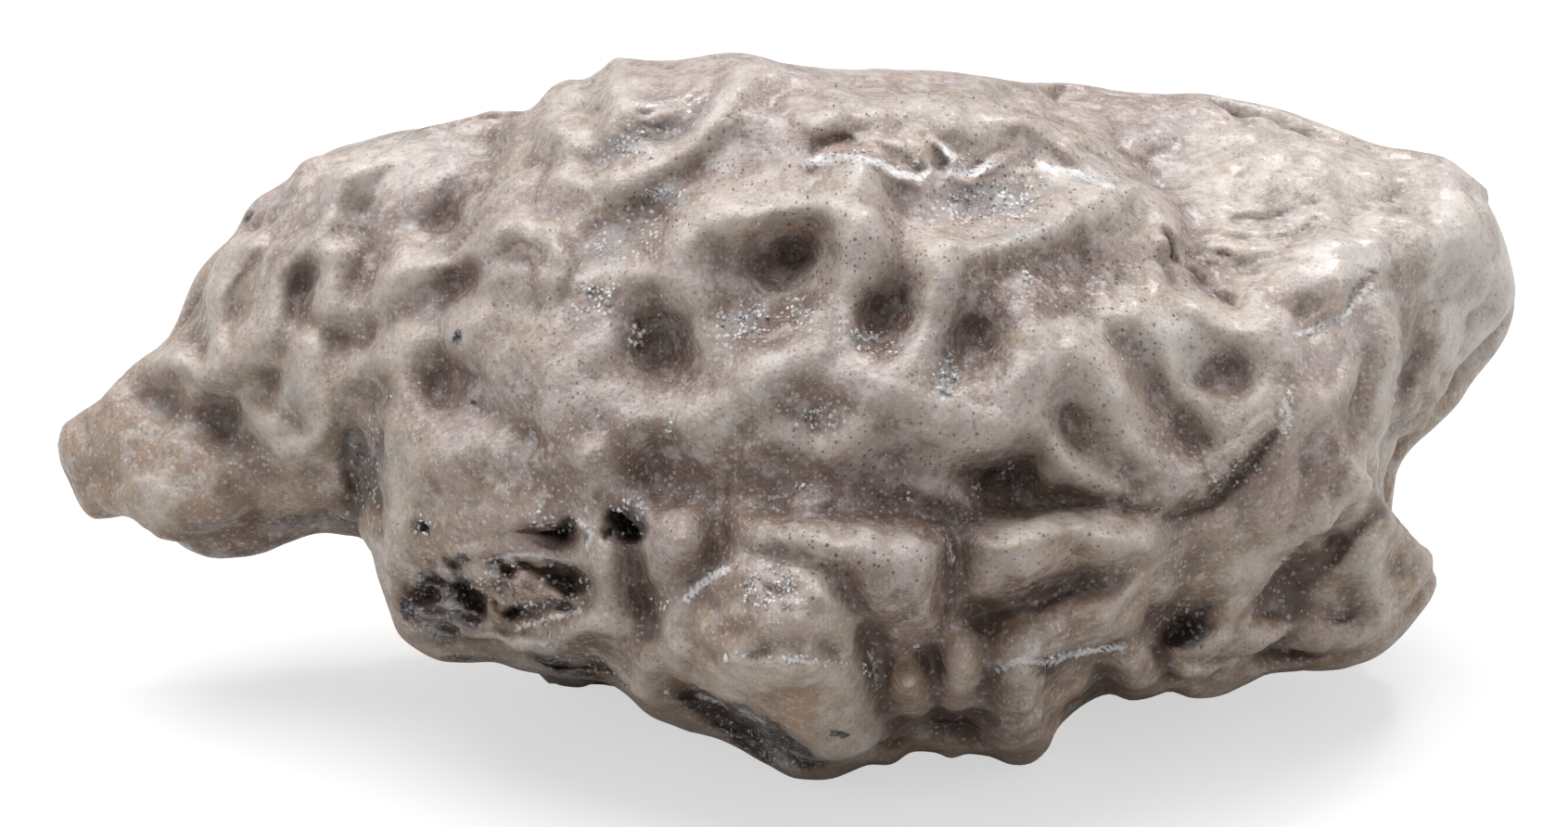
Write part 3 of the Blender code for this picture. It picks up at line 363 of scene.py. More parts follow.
# A fine line is (rise, half width, the points along it); it sinks where the rise is negative.
FINE_LINES = {
    "seam floor crack": (-9, 5, [(826, 546), (870, 549), (930, 551), (985, 556), (1026, 553)]),
    "right seam crack": (-8, 5, [(1096, 543), (1150, 541), (1200, 545), (1246, 552)]),
    "gap between the fingers": (-6, 6, [(1026, 556), (1034, 596), (1036, 640)]),
    "torn edge of the break": (-26, 7, [(548, 612), (566, 604), (588, 612), (612, 606), (642, 618),
        (646, 632)]),
    "torn edge below": (-20, 6, [(506, 640), (528, 650), (548, 662), (572, 662), (596, 650), (622, 652)]),
    "strip in the break": (10, 7, [(520, 612), (552, 622), (588, 632), (620, 640), (640, 636)]),
    "rim of the break": (10, 6, [(508, 592), (534, 584), (566, 588), (602, 594), (640, 602), (654, 618)]),
    "rim of the flank hole": (8, 6, [(654, 556), (664, 538), (688, 536), (704, 548), (706, 566)]),
    "rim of the second hole": (8, 5, [(560, 560), (584, 552), (610, 550), (630, 560)]),
    "ragged lip": (14, 8, [(512, 688), (548, 692), (586, 690), (604, 700), (632, 700), (662, 716),
        (694, 742)]),
    "under the ragged lip": (-26, 9, [(470, 706), (520, 706), (566, 708), (606, 716), (650, 730),
        (684, 752)]),
    "black ridge": (13, 6, [(452, 612), (470, 628), (484, 652), (488, 676)]),
    "black ridge two": (12, 6, [(488, 606), (502, 626), (522, 648), (526, 672)]),
    "cavity roof": (-30, 12, [(734, 744), (776, 752), (822, 770), (862, 798), (886, 828)]),
    "cavity tongue": (22, 9, [(764, 776), (800, 792), (836, 808), (866, 828)]),
    "cavity floor": (-18, 8, [(748, 770), (784, 794), (826, 818), (856, 832)]),
    "scroll arc": (-9, 7, [(812, 700), (836, 684), (866, 678), (894, 692), (908, 716)]),
    "scroll inner band": (7, 7, [(800, 690), (826, 668), (866, 660), (902, 674), (926, 704)]),
    "scroll lip": (9, 7, [(742, 730), (790, 704), (850, 704), (902, 712), (940, 734)]),
    "scroll edge": (6, 7, [(706, 694), (734, 660), (748, 632), (790, 606), (836, 604), (880, 624),
        (930, 668)]),
    "fold above the foot": (-10, 6, [(1066, 726), (1102, 712), (1150, 710), (1204, 694)]),
    "haunch line": (9, 4, [(1064, 718), (1100, 706), (1150, 703), (1206, 686)]),
    "haunch line two": (6, 4, [(1100, 690), (1140, 678), (1200, 662)]),
    "haunch line three": (5, 4, [(1090, 668), (1150, 650), (1210, 640)]),
    "chipped rim": (12, 5, [(868, 184), (886, 172), (920, 172), (948, 178), (966, 190), (990, 194),
        (1002, 184)]),
    "chipped wall": (-13, 7, [(878, 172), (900, 158), (946, 160), (962, 172), (990, 184), (1010, 178)]),
    "chipped rim right": (11, 5, [(1006, 152), (1028, 170), (1024, 186), (1046, 192), (1062, 178),
        (1084, 174)]),
    "chipped wall right": (-11, 7, [(1010, 164), (1020, 180), (1046, 184), (1058, 170)]),
    "crack of the crest": (-24, 6, [(1254, 258), (1262, 280), (1282, 294), (1296, 316), (1320, 330)]),
    "crest crack branch": (-12, 4, [(1262, 278), (1288, 274), (1320, 282)]),
    "wrinkle ledge": (-11, 5, [(1298, 268), (1340, 262), (1392, 254), (1420, 236)]),
    "wrinkle ledge two": (-8, 5, [(1330, 238), (1370, 232), (1420, 212)]),
    "crease of the plate": (-10, 4, [(1398, 364), (1438, 347), (1458, 322), (1480, 293)]),
    "plate line": (6, 4, [(1392, 352), (1430, 338), (1450, 316)]),
    "toothed crevice": (-20, 6, [(1376, 470), (1352, 492), (1330, 522), (1298, 546), (1258, 560)]),
    "crevice teeth": (12, 6, [(1366, 452), (1350, 466), (1340, 486), (1322, 496), (1312, 516), (1290, 528)]),
    "band edge": (-16, 6, [(1404, 606), (1440, 578), (1476, 560), (1500, 548)]),
    "band streak": (5, 6, [(1506, 360), (1498, 430), (1486, 500), (1470, 544)]),
    "band streak two": (5, 5, [(1470, 350), (1462, 420), (1448, 490), (1424, 560)]),
    "band streak three": (-5, 5, [(1440, 372), (1430, 440), (1414, 510), (1390, 574)]),
    "band streak four": (4, 5, [(1410, 380), (1400, 450), (1378, 520), (1350, 580)]),
    "slot by the end": (-8, 6, [(1548, 340), (1546, 390), (1538, 450)]),
    "thin crease": (-6, 3, [(729, 438), (730, 460), (728, 482)]),
    "crease of the node": (-5, 3, [(1048, 448), (1049, 462), (1048, 478)]),
    "left face crease": (-10, 7, [(532, 204), (514, 226), (502, 244), (498, 264)]),
    "shell arc": (-7, 5, [(545, 270), (562, 260), (580, 268), (588, 290)]),
    "shell arc outer": (6, 5, [(536, 252), (560, 238), (590, 248), (606, 280), (602, 312)]),
    "crest fold": (-5, 5, [(676, 176), (706, 160), (742, 146), (770, 120)]),
    "crest fold two": (-7, 4, [(700, 130), (724, 120), (752, 108)]),
    "crest fold three": (7, 5, [(640, 96), (626, 118), (612, 142)]),
    "crest fold four": (6, 5, [(600, 112), (588, 134), (576, 160)]),
    "lobe crease": (-12, 6, [(1280, 714), (1310, 718), (1340, 712), (1390, 706), (1430, 708)]),
    "lobe streak": (7, 7, [(1470, 590), (1486, 636), (1494, 682)]),
    "heel gap": (-26, 9, [(1246, 700), (1262, 680), (1284, 660), (1304, 646)]),
    "throat crack": (-12, 10, [(424, 456), (404, 492), (402, 530), (414, 566)]),
    "throat side": (-10, 6, [(380, 470), (372, 500), (386, 526)]),
}

# A fine pit is (x, y, half length, half width, turn in degrees, depth), with steep walls and a flat floor.
FINE_PITS = {
    "flank hole": (690, 563, 13, 11, 40, 54),
    "flank hole above": (676, 550, 14, 7, 30, 46),
    "flank hole side": (664, 566, 8, 5, -30, 26),
    "second flank hole": (616, 566, 9, 12, 20, 46),
    "second flank hole side": (600, 569, 13, 5, -10, 40),
    "reddish hollow": (578, 565, 22, 9, 4, 20),
    "hole in the break": (616, 623, 24, 11, 14, 34),
    "hole in the break left": (502, 602, 9, 7, 0, 22),
    "hole in the break low": (558, 661, 11, 6, -20, 24),
    "hole in the break high": (544, 600, 7, 5, 0, 16),
    "black hole": (508, 644, 9, 27, -22, 30),
    "black hole two": (465, 638, 14, 14, 0, 26),
    "black hole three": (441, 655, 8, 14, 0, 20),
    "black hole four": (486, 682, 12, 7, 10, 18),
    "crystal hole": (462, 567, 8, 7, 0, 18),
    "pin hole": (515, 435, 4, 4, 0, 12),
    "pit core": (853, 277, 13, 11, 0, 20),
    "middle pit core": (940, 344, 16, 20, 8, 12),
    "left pit core": (728, 372, 20, 30, -20, 12),
    "seam pit core": (1066, 512, 28, 14, 4, 26),
    "third rib core": (1322, 398, 14, 10, -20, 8),
    "second rib core": (1286, 462, 14, 30, -40, 10),
    "crest pin": (1105, 300, 4, 4, 0, 6),
    "haunch pin": (1126, 722, 10, 5, -8, 18),
    "scroll pin": (900, 787, 5, 4, 0, 10),
    "scroll pin two": (911, 789, 4, 4, 0, 8),
    "foot hollow": (1024, 784, 22, 9, 0, 26),
    "foot pit": (1090, 770, 13, 10, 0, 12),
    "rear side notch": (266, 236, 9, 9, 0, 24),
    "beak hole": (305, 408, 16, 13, 0, 5),
    "beak hole two": (168, 436, 15, 13, 0, 5),
    "beak hole three": (246, 462, 18, 12, 0, 5),
    "side hollow": (1402, 336, 18, 14, 0, 6),
    "crest spot": (1265, 265, 10, 10, 0, 12),
    "lobe hole": (1508, 614, 12, 13, 0, 16),
    "lobe hole two": (1440, 662, 16, 9, -10, 16),
    "lobe hole three": (1438, 582, 13, 8, -20, 20),
    "lobe hole four": (1352, 664, 14, 9, 0, 10),
}

# A rough patch is (x, y, half length, half width, turn, height, wavelength).
ROUGH_PATCHES = {
    "porous break": (574, 630, 76, 36, 10, 15, 15),
    "porous corner": (478, 645, 50, 48, 0, 24, 17),
    "under the lip": (560, 716, 100, 16, 8, 10, 14),
    "cavity tongue": (816, 802, 60, 18, 32, 7, 9),
    "rosette": (830, 632, 32, 29, 0, 7, 10),
    "pit crystals": (806, 348, 32, 18, -10, 5, 8),
    "pit crystals right": (862, 338, 16, 14, 0, 6, 8),
    "middle pit crystals": (930, 366, 18, 16, 0, 5, 8),
    "grey cluster": (1017, 405, 15, 24, 10, 12, 11),
    "white fleck": (690, 362, 12, 20, 20, 12, 10),
    "cheek crystals": (646, 326, 26, 20, -10, 5, 9),
    "crest dish": (1068, 220, 64, 24, 0, 4, 9),
    "crest hollow": (690, 156, 34, 16, -20, 5, 9),
    "speckled hollow": (716, 212, 26, 14, 0, 5, 9),
    "throat": (398, 510, 24, 46, 8, 8, 13),
    "crevice": (1322, 512, 56, 22, -38, 7, 11),
    "black slot": (1276, 676, 24, 30, -30, 9, 14),
    "foot hollow": (1024, 782, 30, 14, 0, 8, 10),
    "low ring": (880, 452, 28, 14, 0, 4, 9),
    "flank hollow": (630, 560, 80, 18, 0, 5, 10),
}

# Each stain is a list of ovals (x, y, half length, half width, turn in degrees, strength).
# Three of these stains are painted shade and one is partly painted light, as noted at each.
STAINS = {
    "grey": [
        (678, 156, 34, 18, -20, 0.9), (722, 146, 34, 12, -12, 0.9), (756, 121, 22, 13, -32, 0.7),
        (720, 212, 28, 15, 0, 0.8), (662, 266, 38, 26, -24, 0.6), (850, 228, 20, 12, 0, 0.5),
        (1066, 219, 60, 22, 0, 0.85), (1110, 250, 60, 14, -14, 0.5), (1120, 210, 50, 14, -16, 0.5),
        (474, 268, 26, 20, 0, 0.45), (320, 430, 24, 18, 0, 0.6), (172, 436, 18, 13, 0, 0.6),
        (246, 460, 24, 14, 0, 0.6), (230, 414, 18, 12, 0, 0.5), (306, 408, 18, 12, 0, 0.5),
        (412, 430, 22, 22, 0, 0.5), (404, 508, 20, 36, 12, 0.9), (380, 480, 20, 36, 24, 0.6),
        (524, 290, 20, 30, 24, 0.4), (472, 334, 26, 38, 14, 0.45), (804, 350, 28, 20, 0, 0.6),
        (862, 336, 14, 12, 0, 0.6), (1017, 405, 15, 24, 10, 1.0), (930, 366, 18, 16, 0, 0.6),
        (645, 322, 28, 20, 0, 0.4), (830, 632, 31, 27, 0, 0.4), (106, 495, 50, 60, 0, 0.3),
        (1276, 676, 26, 30, -30, 0.8), (340, 566, 80, 16, -6, 0.6), (478, 650, 46, 46, 0, 0.8),
        (816, 802, 56, 16, 32, 0.9), (560, 722, 90, 16, 8, 0.8), (1100, 250, 60, 10, -14, 0.35),
        (1024, 784, 28, 14, 0, 0.5), (1410, 706, 26, 10, 0, 0.4), (240, 250, 26, 30, 0, 0.3),
        (1575, 400, 30, 60, 14, 0.35), (1612, 336, 16, 16, 0, 0.4), (700, 240, 60, 20, -20, 0.35),
        (960, 100, 70, 14, 0, 0.3),
    ],
    # This stain is painted shade: in the pits, along the seams and valleys, and under the ledges.
    "pit_and_ledge_shade": [
        (853, 272, 34, 24, 0, 0.75), (726, 374, 32, 38, -18, 0.85), (840, 270, 56, 12, 0, 0.35),
        (672, 406, 16, 12, 0, 0.5), (942, 338, 28, 32, 8, 0.7), (1042, 358, 26, 34, 24, 0.55),
        (504, 292, 16, 26, 24, 0.6), (484, 400, 18, 16, 0, 0.55), (870, 514, 120, 28, -2, 0.6),
        (748, 512, 36, 40, 10, 0.6), (1066, 508, 46, 26, 4, 1.0), (1150, 462, 16, 36, -38, 0.4),
        (1290, 466, 16, 34, -40, 0.35), (1322, 398, 24, 18, -10, 0.6), (1265, 265, 13, 14, 0, 0.7),
        (1402, 336, 22, 18, 0, 0.4), (327, 316, 18, 26, 8, 0.2), (267, 236, 10, 12, 0, 0.8),
        (1442, 662, 22, 14, -10, 0.8), (816, 350, 56, 30, 0, 0.4), (1438, 582, 18, 12, -24, 0.9),
        (1508, 612, 16, 18, 0, 0.6), (1275, 166, 26, 12, 0, 0.45), (1346, 160, 24, 14, 0, 0.5),
        (1392, 150, 20, 9, 0, 0.4), (1480, 186, 24, 12, 10, 0.5), (1506, 231, 26, 13, 10, 0.6),
        (1116, 292, 80, 18, -14, 0.6), (1120, 320, 92, 30, -12, 0.9), (900, 532, 150, 18, 2, 0.8),
        (1170, 536, 80, 12, 0, 0.6), (244, 456, 30, 18, 10, 0.35), (300, 404, 22, 16, -20, 0.4),
        (870, 430, 60, 20, 0, 0.3), (1110, 638, 80, 12, -14, 0.5), (1030, 600, 14, 60, -4, 0.35),
        (960, 690, 24, 30, -20, 0.5), (776, 594, 18, 36, 10, 0.6), (694, 620, 10, 60, -4, 0.5),
        (1322, 522, 60, 12, -38, 0.8), (1024, 550, 80, 12, 0, 0.6), (980, 660, 50, 20, -10, 0.3),
        (740, 610, 34, 40, 0, 0.45), (1262, 380, 20, 30, -30, 0.2), (1010, 780, 40, 22, 0, 0.7),
        (210, 330, 12, 26, 12, 0.4), (1300, 712, 30, 8, 0, 0.6), (452, 336, 30, 20, -20, 0.4),
        (524, 256, 14, 30, 30, 0.4), (1246, 240, 20, 30, 0, 0.35),
    ],
    "mauve": [
        (900, 400, 230, 80, 4, 0.55), (1080, 300, 130, 56, -8, 0.45), (650, 500, 150, 44, 0, 0.6),
        (860, 300, 150, 46, 0, 0.3), (1250, 500, 90, 50, -30, 0.4), (470, 460, 70, 60, 0, 0.3),
        (780, 306, 30, 30, 0, 0.3), (815, 360, 70, 36, 0, 1.0), (1120, 318, 110, 34, -14, 1.0),
        (1068, 400, 36, 50, 20, 0.6), (720, 430, 60, 34, 0, 0.4), (620, 400, 80, 50, 0, 0.25),
        (700, 236, 64, 40, -20, 0.6), (962, 250, 26, 64, 0, 0.5), (934, 362, 40, 26, 0, 0.6),
        (888, 446, 60, 26, 0, 0.7), (1160, 446, 24, 50, -38, 0.35), (1276, 452, 26, 60, -40, 0.25),
        (1000, 500, 90, 26, 0, 0.6), (660, 340, 60, 26, 0, 0.4), (330, 316, 30, 46, 10, 0.3),
        (250, 424, 60, 50, 0, 0.3), (482, 330, 30, 70, 10, 0.5), (420, 490, 30, 60, 0, 0.5),
        (1430, 480, 54, 120, 14, 0.5), (1330, 400, 40, 34, 0, 0.6), (540, 440, 50, 26, 0, 0.4),
        (560, 320, 40, 60, 0, 0.3), (1180, 240, 30, 30, 0, 0.3), (800, 180, 70, 20, 0, 0.4),
        (180, 560, 60, 30, 0, 0.3), (930, 300, 30, 40, 0, 0.3), (1200, 350, 50, 30, 0, 0.4),
    ],
    # This stain is painted shade: a broad darkening of the lower lumps, the middle band and the seams, where
    # the light falls off.
    "broad_shade": [
        (900, 390, 240, 90, 6, 0.75), (690, 500, 230, 60, 0, 0.85), (900, 580, 200, 60, 0, 0.85),
        (1120, 690, 120, 50, 0, 0.6), (280, 590, 130, 40, 0, 0.9), (1250, 510, 100, 60, -30, 0.7),
        (420, 470, 110, 80, 0, 0.35), (1430, 700, 120, 40, 0, 0.5), (1440, 440, 100, 90, 0, 0.35),
        (1080, 290, 110, 50, -10, 0.75), (610, 690, 160, 40, 8, 0.5), (1280, 640, 90, 60, 0, 0.4),
        (800, 600, 150, 50, 0, 0.8), (960, 630, 90, 40, 0, 0.8), (260, 600, 90, 30, 0, 0.8),
        (738, 604, 48, 54, 0, 1.0), (655, 626, 44, 60, 0, 0.5), (900, 572, 120, 18, 2, 0.9),
        (1126, 322, 84, 26, -12, 0.55), (1110, 250, 56, 12, -14, 0.25), (900, 620, 110, 50, 0, 0.6),
        (760, 490, 110, 30, 0, 0.5), (620, 500, 80, 26, 0, 0.5), (1080, 700, 70, 40, 0, 0.5),
        (800, 672, 36, 16, 0, 0.6), (460, 522, 44, 30, 0, 0.5), (1140, 566, 90, 14, -2, 0.5),
        (980, 648, 66, 28, -10, 0.8), (900, 620, 120, 30, 2, 0.5), (1140, 616, 100, 22, -3, 0.4),
        (600, 688, 96, 24, 10, 1.0), (1225, 520, 60, 40, 0, 0.4), (1140, 630, 90, 18, -8, 0.8),
        (1092, 768, 44, 40, 0, 0.9), (1010, 730, 12, 60, 0, 0.7), (1058, 744, 12, 50, 10, 0.7),
        (950, 720, 12, 60, -10, 0.7), (620, 700, 100, 30, 10, 0.6), (1225, 734, 32, 30, 0, 0.6),
        (1390, 708, 110, 14, -6, 0.4), (460, 556, 44, 60, 0, 0.4), (290, 596, 110, 24, 0, 0.5),
        (1240, 620, 50, 60, 0, 0.3), (870, 520, 130, 30, 0, 0.4), (420, 590, 40, 40, 0, 0.5),
    ],
    "rust": [
        (578, 564, 24, 10, 4, 0.9), (916, 167, 40, 9, 4, 1.0), (980, 182, 30, 8, 20, 1.0),
        (1034, 180, 26, 8, 10, 0.9), (850, 688, 46, 9, -10, 0.6), (1262, 276, 12, 20, -30, 0.6),
        (596, 604, 40, 10, 8, 0.4), (1098, 772, 18, 12, 0, 0.5),
    ],
    "tan": [
        (1096, 772, 44, 46, 0, 1.0), (870, 758, 84, 44, 16, 0.8), (780, 680, 60, 44, -20, 0.45),
        (975, 740, 30, 34, 0, 0.6), (1040, 716, 20, 44, 0, 0.6), (1150, 668, 84, 34, -12, 0.7),
        (700, 740, 44, 24, 20, 0.5), (1225, 734, 24, 20, 0, 0.5), (650, 700, 50, 24, 10, 0.45),
        (1400, 680, 100, 44, -4, 0.8), (1510, 640, 40, 50, 0, 0.35), (740, 596, 40, 40, 0, 0.35),
        (836, 250, 84, 10, -2, 0.9), (1100, 262, 110, 12, -14, 0.4), (960, 410, 60, 16, 20, 0.3),
        (1210, 470, 80, 12, 42, 0.35), (1270, 380, 60, 12, 50, 0.35), (500, 700, 70, 20, 4, 0.4),
        (530, 230, 30, 12, -60, 0.3), (1340, 268, 60, 8, -6, 0.5), (900, 580, 120, 30, 4, 0.6),
        (1140, 580, 100, 28, -4, 0.5), (1100, 420, 40, 50, 0, 0.2), (630, 490, 60, 30, 0, 0.5),
        (520, 510, 70, 36, -6, 0.45), (330, 540, 90, 30, 0, 0.4),
    ],
    "pink": [
        (1430, 470, 64, 130, 14, 0.7), (574, 630, 70, 32, 10, 0.9), (616, 430, 90, 70, 0, 0.3),
        (500, 486, 90, 50, 0, 0.4), (380, 300, 90, 80, -20, 0.3), (330, 490, 90, 60, 0, 0.4),
        (1200, 380, 70, 50, 20, 0.3), (880, 480, 120, 40, 0, 0.4), (1180, 590, 50, 20, -4, 0.4),
        (440, 200, 90, 60, -20, 0.3),
    ],
    # This stain is partly the paler stone and partly painted light: the bright rear and right end, and
    # highlights on the glossy ridges and chipped rims.
    "pale": [
        (1400, 190, 270, 100, 5, 0.5), (1100, 405, 36, 40, 0, 0.5), (730, 700, 22, 30, 20, 0.5),
        (896, 764, 40, 22, 10, 0.4), (1594, 280, 60, 150, 0, 1.0), (1262, 374, 44, 34, 30, 1.0),
        (1450, 290, 60, 20, -10, 0.6), (640, 300, 60, 14, -10, 0.4), (760, 300, 14, 50, 0, 0.4),
        (610, 430, 50, 20, 0, 0.4), (580, 500, 50, 16, 0, 0.4), (430, 180, 140, 44, -22, 0.6),
        (770, 616, 46, 12, -28, 0.45), (620, 108, 40, 30, 0, 0.5), (300, 250, 60, 30, -50, 0.35),
        (382, 334, 26, 12, 0, 0.5), (350, 296, 40, 40, 0, 0.45), (300, 484, 46, 26, 0, 0.5),
        (458, 298, 34, 14, -22, 0.5), (188, 388, 18, 10, 0, 0.5), (306, 464, 34, 20, 30, 0.4),
        (488, 480, 56, 18, -4, 0.4), (204, 522, 36, 22, 0, 0.5), (560, 690, 60, 10, 0, 0.5),
        (1168, 192, 44, 14, -4, 0.9), (1452, 278, 60, 24, -6, 0.9), (900, 177, 40, 4, -4, 0.9),
        (966, 192, 34, 4, 8, 0.9), (1046, 190, 34, 4, -8, 0.8), (1100, 186, 60, 5, 0, 0.6),
        (1476, 324, 34, 12, -10, 0.6), (1000, 462, 44, 14, 14, 0.35), (1506, 440, 7, 110, 4, 0.5),
        (1482, 634, 12, 50, -14, 0.5), (585, 250, 36, 50, 0, 0.3), (1330, 266, 50, 8, -4, 0.4),
        (1140, 112, 120, 12, 6, 0.3), (900, 64, 160, 14, 2, 0.3), (576, 598, 70, 8, 8, 0.5),
    ],
    # This stain is painted shade: near black in the holes, slots and cavities.
    "hole": [
        (691, 563, 13, 12, 40, 1.0), (676, 551, 14, 8, 30, 1.0), (664, 566, 9, 5, -30, 0.8),
        (617, 566, 9, 13, 20, 1.0), (600, 569, 14, 6, -10, 1.0), (502, 602, 10, 8, 0, 0.9),
        (616, 624, 25, 12, 14, 1.0), (558, 661, 13, 7, -20, 0.9), (544, 600, 8, 6, 0, 0.7),
        (508, 644, 11, 30, -22, 1.0), (476, 650, 42, 42, 0, 0.3), (465, 636, 18, 16, 0, 1.0),
        (441, 655, 10, 16, 0, 0.9), (486, 682, 14, 9, 10, 0.8), (462, 567, 8, 7, 0, 0.7),
        (515, 435, 5, 5, 0, 0.8), (1024, 784, 26, 11, 0, 0.6), (1126, 722, 11, 6, -8, 0.9),
        (900, 787, 6, 5, 0, 0.9), (911, 789, 5, 5, 0, 0.9), (1280, 672, 14, 40, 40, 0.8),
        (267, 236, 8, 10, 0, 0.6), (850, 276, 14, 10, 0, 0.35), (1064, 510, 26, 12, 4, 0.55),
        (497, 367, 7, 8, 0, 0.9), (404, 510, 10, 36, 6, 0.6), (500, 716, 60, 12, 0, 0.7),
        (620, 724, 60, 9, 22, 0.9), (758, 756, 28, 13, 18, 1.0), (796, 769, 28, 15, 24, 1.0),
        (832, 788, 28, 15, 36, 1.0), (862, 810, 24, 13, 50, 1.0), (800, 800, 56, 9, 34, 0.75),
        (690, 544, 12, 10, 0, 0.9), (1400, 710, 34, 7, 0, 0.5), (1438, 584, 12, 7, -24, 0.6),
        (730, 516, 16, 12, 0, 0.25),
    ],
    "crystal": [
        (806, 348, 34, 20, -10, 0.9), (862, 338, 18, 16, 0, 0.9), (930, 368, 20, 18, 0, 0.9),
        (960, 376, 14, 10, 0, 0.7), (1017, 405, 15, 24, 10, 1.0), (690, 362, 14, 22, 20, 1.0),
        (646, 326, 28, 22, -10, 0.8), (1068, 220, 66, 26, 0, 0.7), (690, 156, 36, 18, -20, 0.7),
        (716, 212, 28, 16, 0, 0.7), (830, 632, 34, 30, 0, 0.9), (752, 122, 24, 14, -30, 0.5),
        (1380, 446, 10, 30, 0, 0.8), (480, 650, 46, 40, 0, 0.5), (574, 630, 70, 34, 10, 0.5),
        (880, 452, 30, 16, 0, 0.5), (398, 510, 24, 50, 8, 0.4), (1276, 676, 24, 30, -30, 0.4),
        (1322, 512, 56, 20, -38, 0.5), (1180, 340, 60, 40, 0, 0.3), (620, 560, 80, 18, 0, 0.6),
        (816, 802, 50, 14, 32, 0.4), (680, 250, 60, 30, -20, 0.4),
    ],
    "speck": [
        (800, 176, 70, 30, 0, 0.8), (960, 240, 190, 150, 0, 0.6), (1120, 200, 120, 70, 0, 0.8),
        (1200, 320, 100, 80, 0, 0.8), (940, 500, 160, 70, 0, 0.6), (920, 600, 120, 50, 0, 0.8),
        (1140, 590, 90, 40, 0, 0.6), (640, 400, 110, 90, 0, 0.35), (700, 210, 60, 50, 0, 0.6),
        (1180, 480, 130, 70, 0, 0.5), (740, 600, 50, 50, 0, 0.5), (1040, 420, 60, 50, 0, 0.3),
    ],
    "gloss": [
        (1168, 192, 44, 12, -4, 1.0), (1452, 278, 60, 24, -6, 1.0), (1476, 326, 34, 12, -10, 1.0),
        (1330, 410, 22, 8, -20, 0.7), (484, 162, 34, 14, -20, 0.8), (712, 108, 44, 12, -14, 0.6),
        (1130, 704, 76, 8, -14, 1.0), (970, 180, 110, 10, 6, 0.7), (1420, 352, 30, 8, -24, 0.8),
        (1380, 446, 10, 30, 0, 0.6), (850, 706, 90, 6, 6, 0.8), (560, 520, 60, 20, 0, 0.3),
        (470, 540, 50, 20, 0, 0.5), (1180, 570, 60, 10, -8, 0.5), (420, 150, 80, 14, -14, 0.5),
        (574, 630, 70, 30, 10, 0.6), (590, 150, 30, 40, 0, 0.4), (1100, 98, 120, 10, 6, 0.4),
    ],
}

# A white edge is (strength, half width, the points along it): partly a white chipped edge, partly a painted
# highlight where an edge or a thin crust catches the light.
WHITE_EDGES_AND_GLINTS = {
    "chipped rim": (1, 5, [(868, 184), (886, 174), (920, 174), (948, 180), (966, 190), (990, 194),
        (1002, 184)]),
    "chipped rim right": (1, 5, [(1012, 160), (1026, 172), (1022, 186), (1046, 190), (1064, 180)]),
    "end of the chipped rim": (0.8, 5, [(1124, 182), (1156, 188), (1196, 204)]),
    "edge of the scroll": (1, 5, [(742, 644), (756, 628), (784, 611)]),
    "haunch": (1, 4, [(1072, 720), (1100, 708), (1128, 713), (1150, 704), (1208, 696)]),
    "right edge of the scroll": (0.7, 4, [(936, 700), (944, 716), (942, 736)]),
    "end of the left finger": (0.8, 4, [(1018, 580), (1024, 602)]),
    "sparkle of the crevice": (0.9, 5, [(1380, 428), (1386, 446), (1378, 464)]),
    "crease of the plate": (0.9, 4, [(1392, 362), (1420, 353), (1450, 338), (1476, 306)]),
    "between the flank holes": (0.8, 5, [(628, 560), (640, 574), (634, 590)]),
    "edge of the break": (0.8, 4, [(540, 600), (580, 596), (620, 606)]),
    "lower edge of the break": (0.8, 4, [(560, 676), (596, 664), (630, 656)]),
    "slit": (0.6, 5, [(690, 120), (720, 112), (752, 106)]),
    "cavity": (0.7, 4, [(752, 748), (790, 760), (826, 776)]),
}

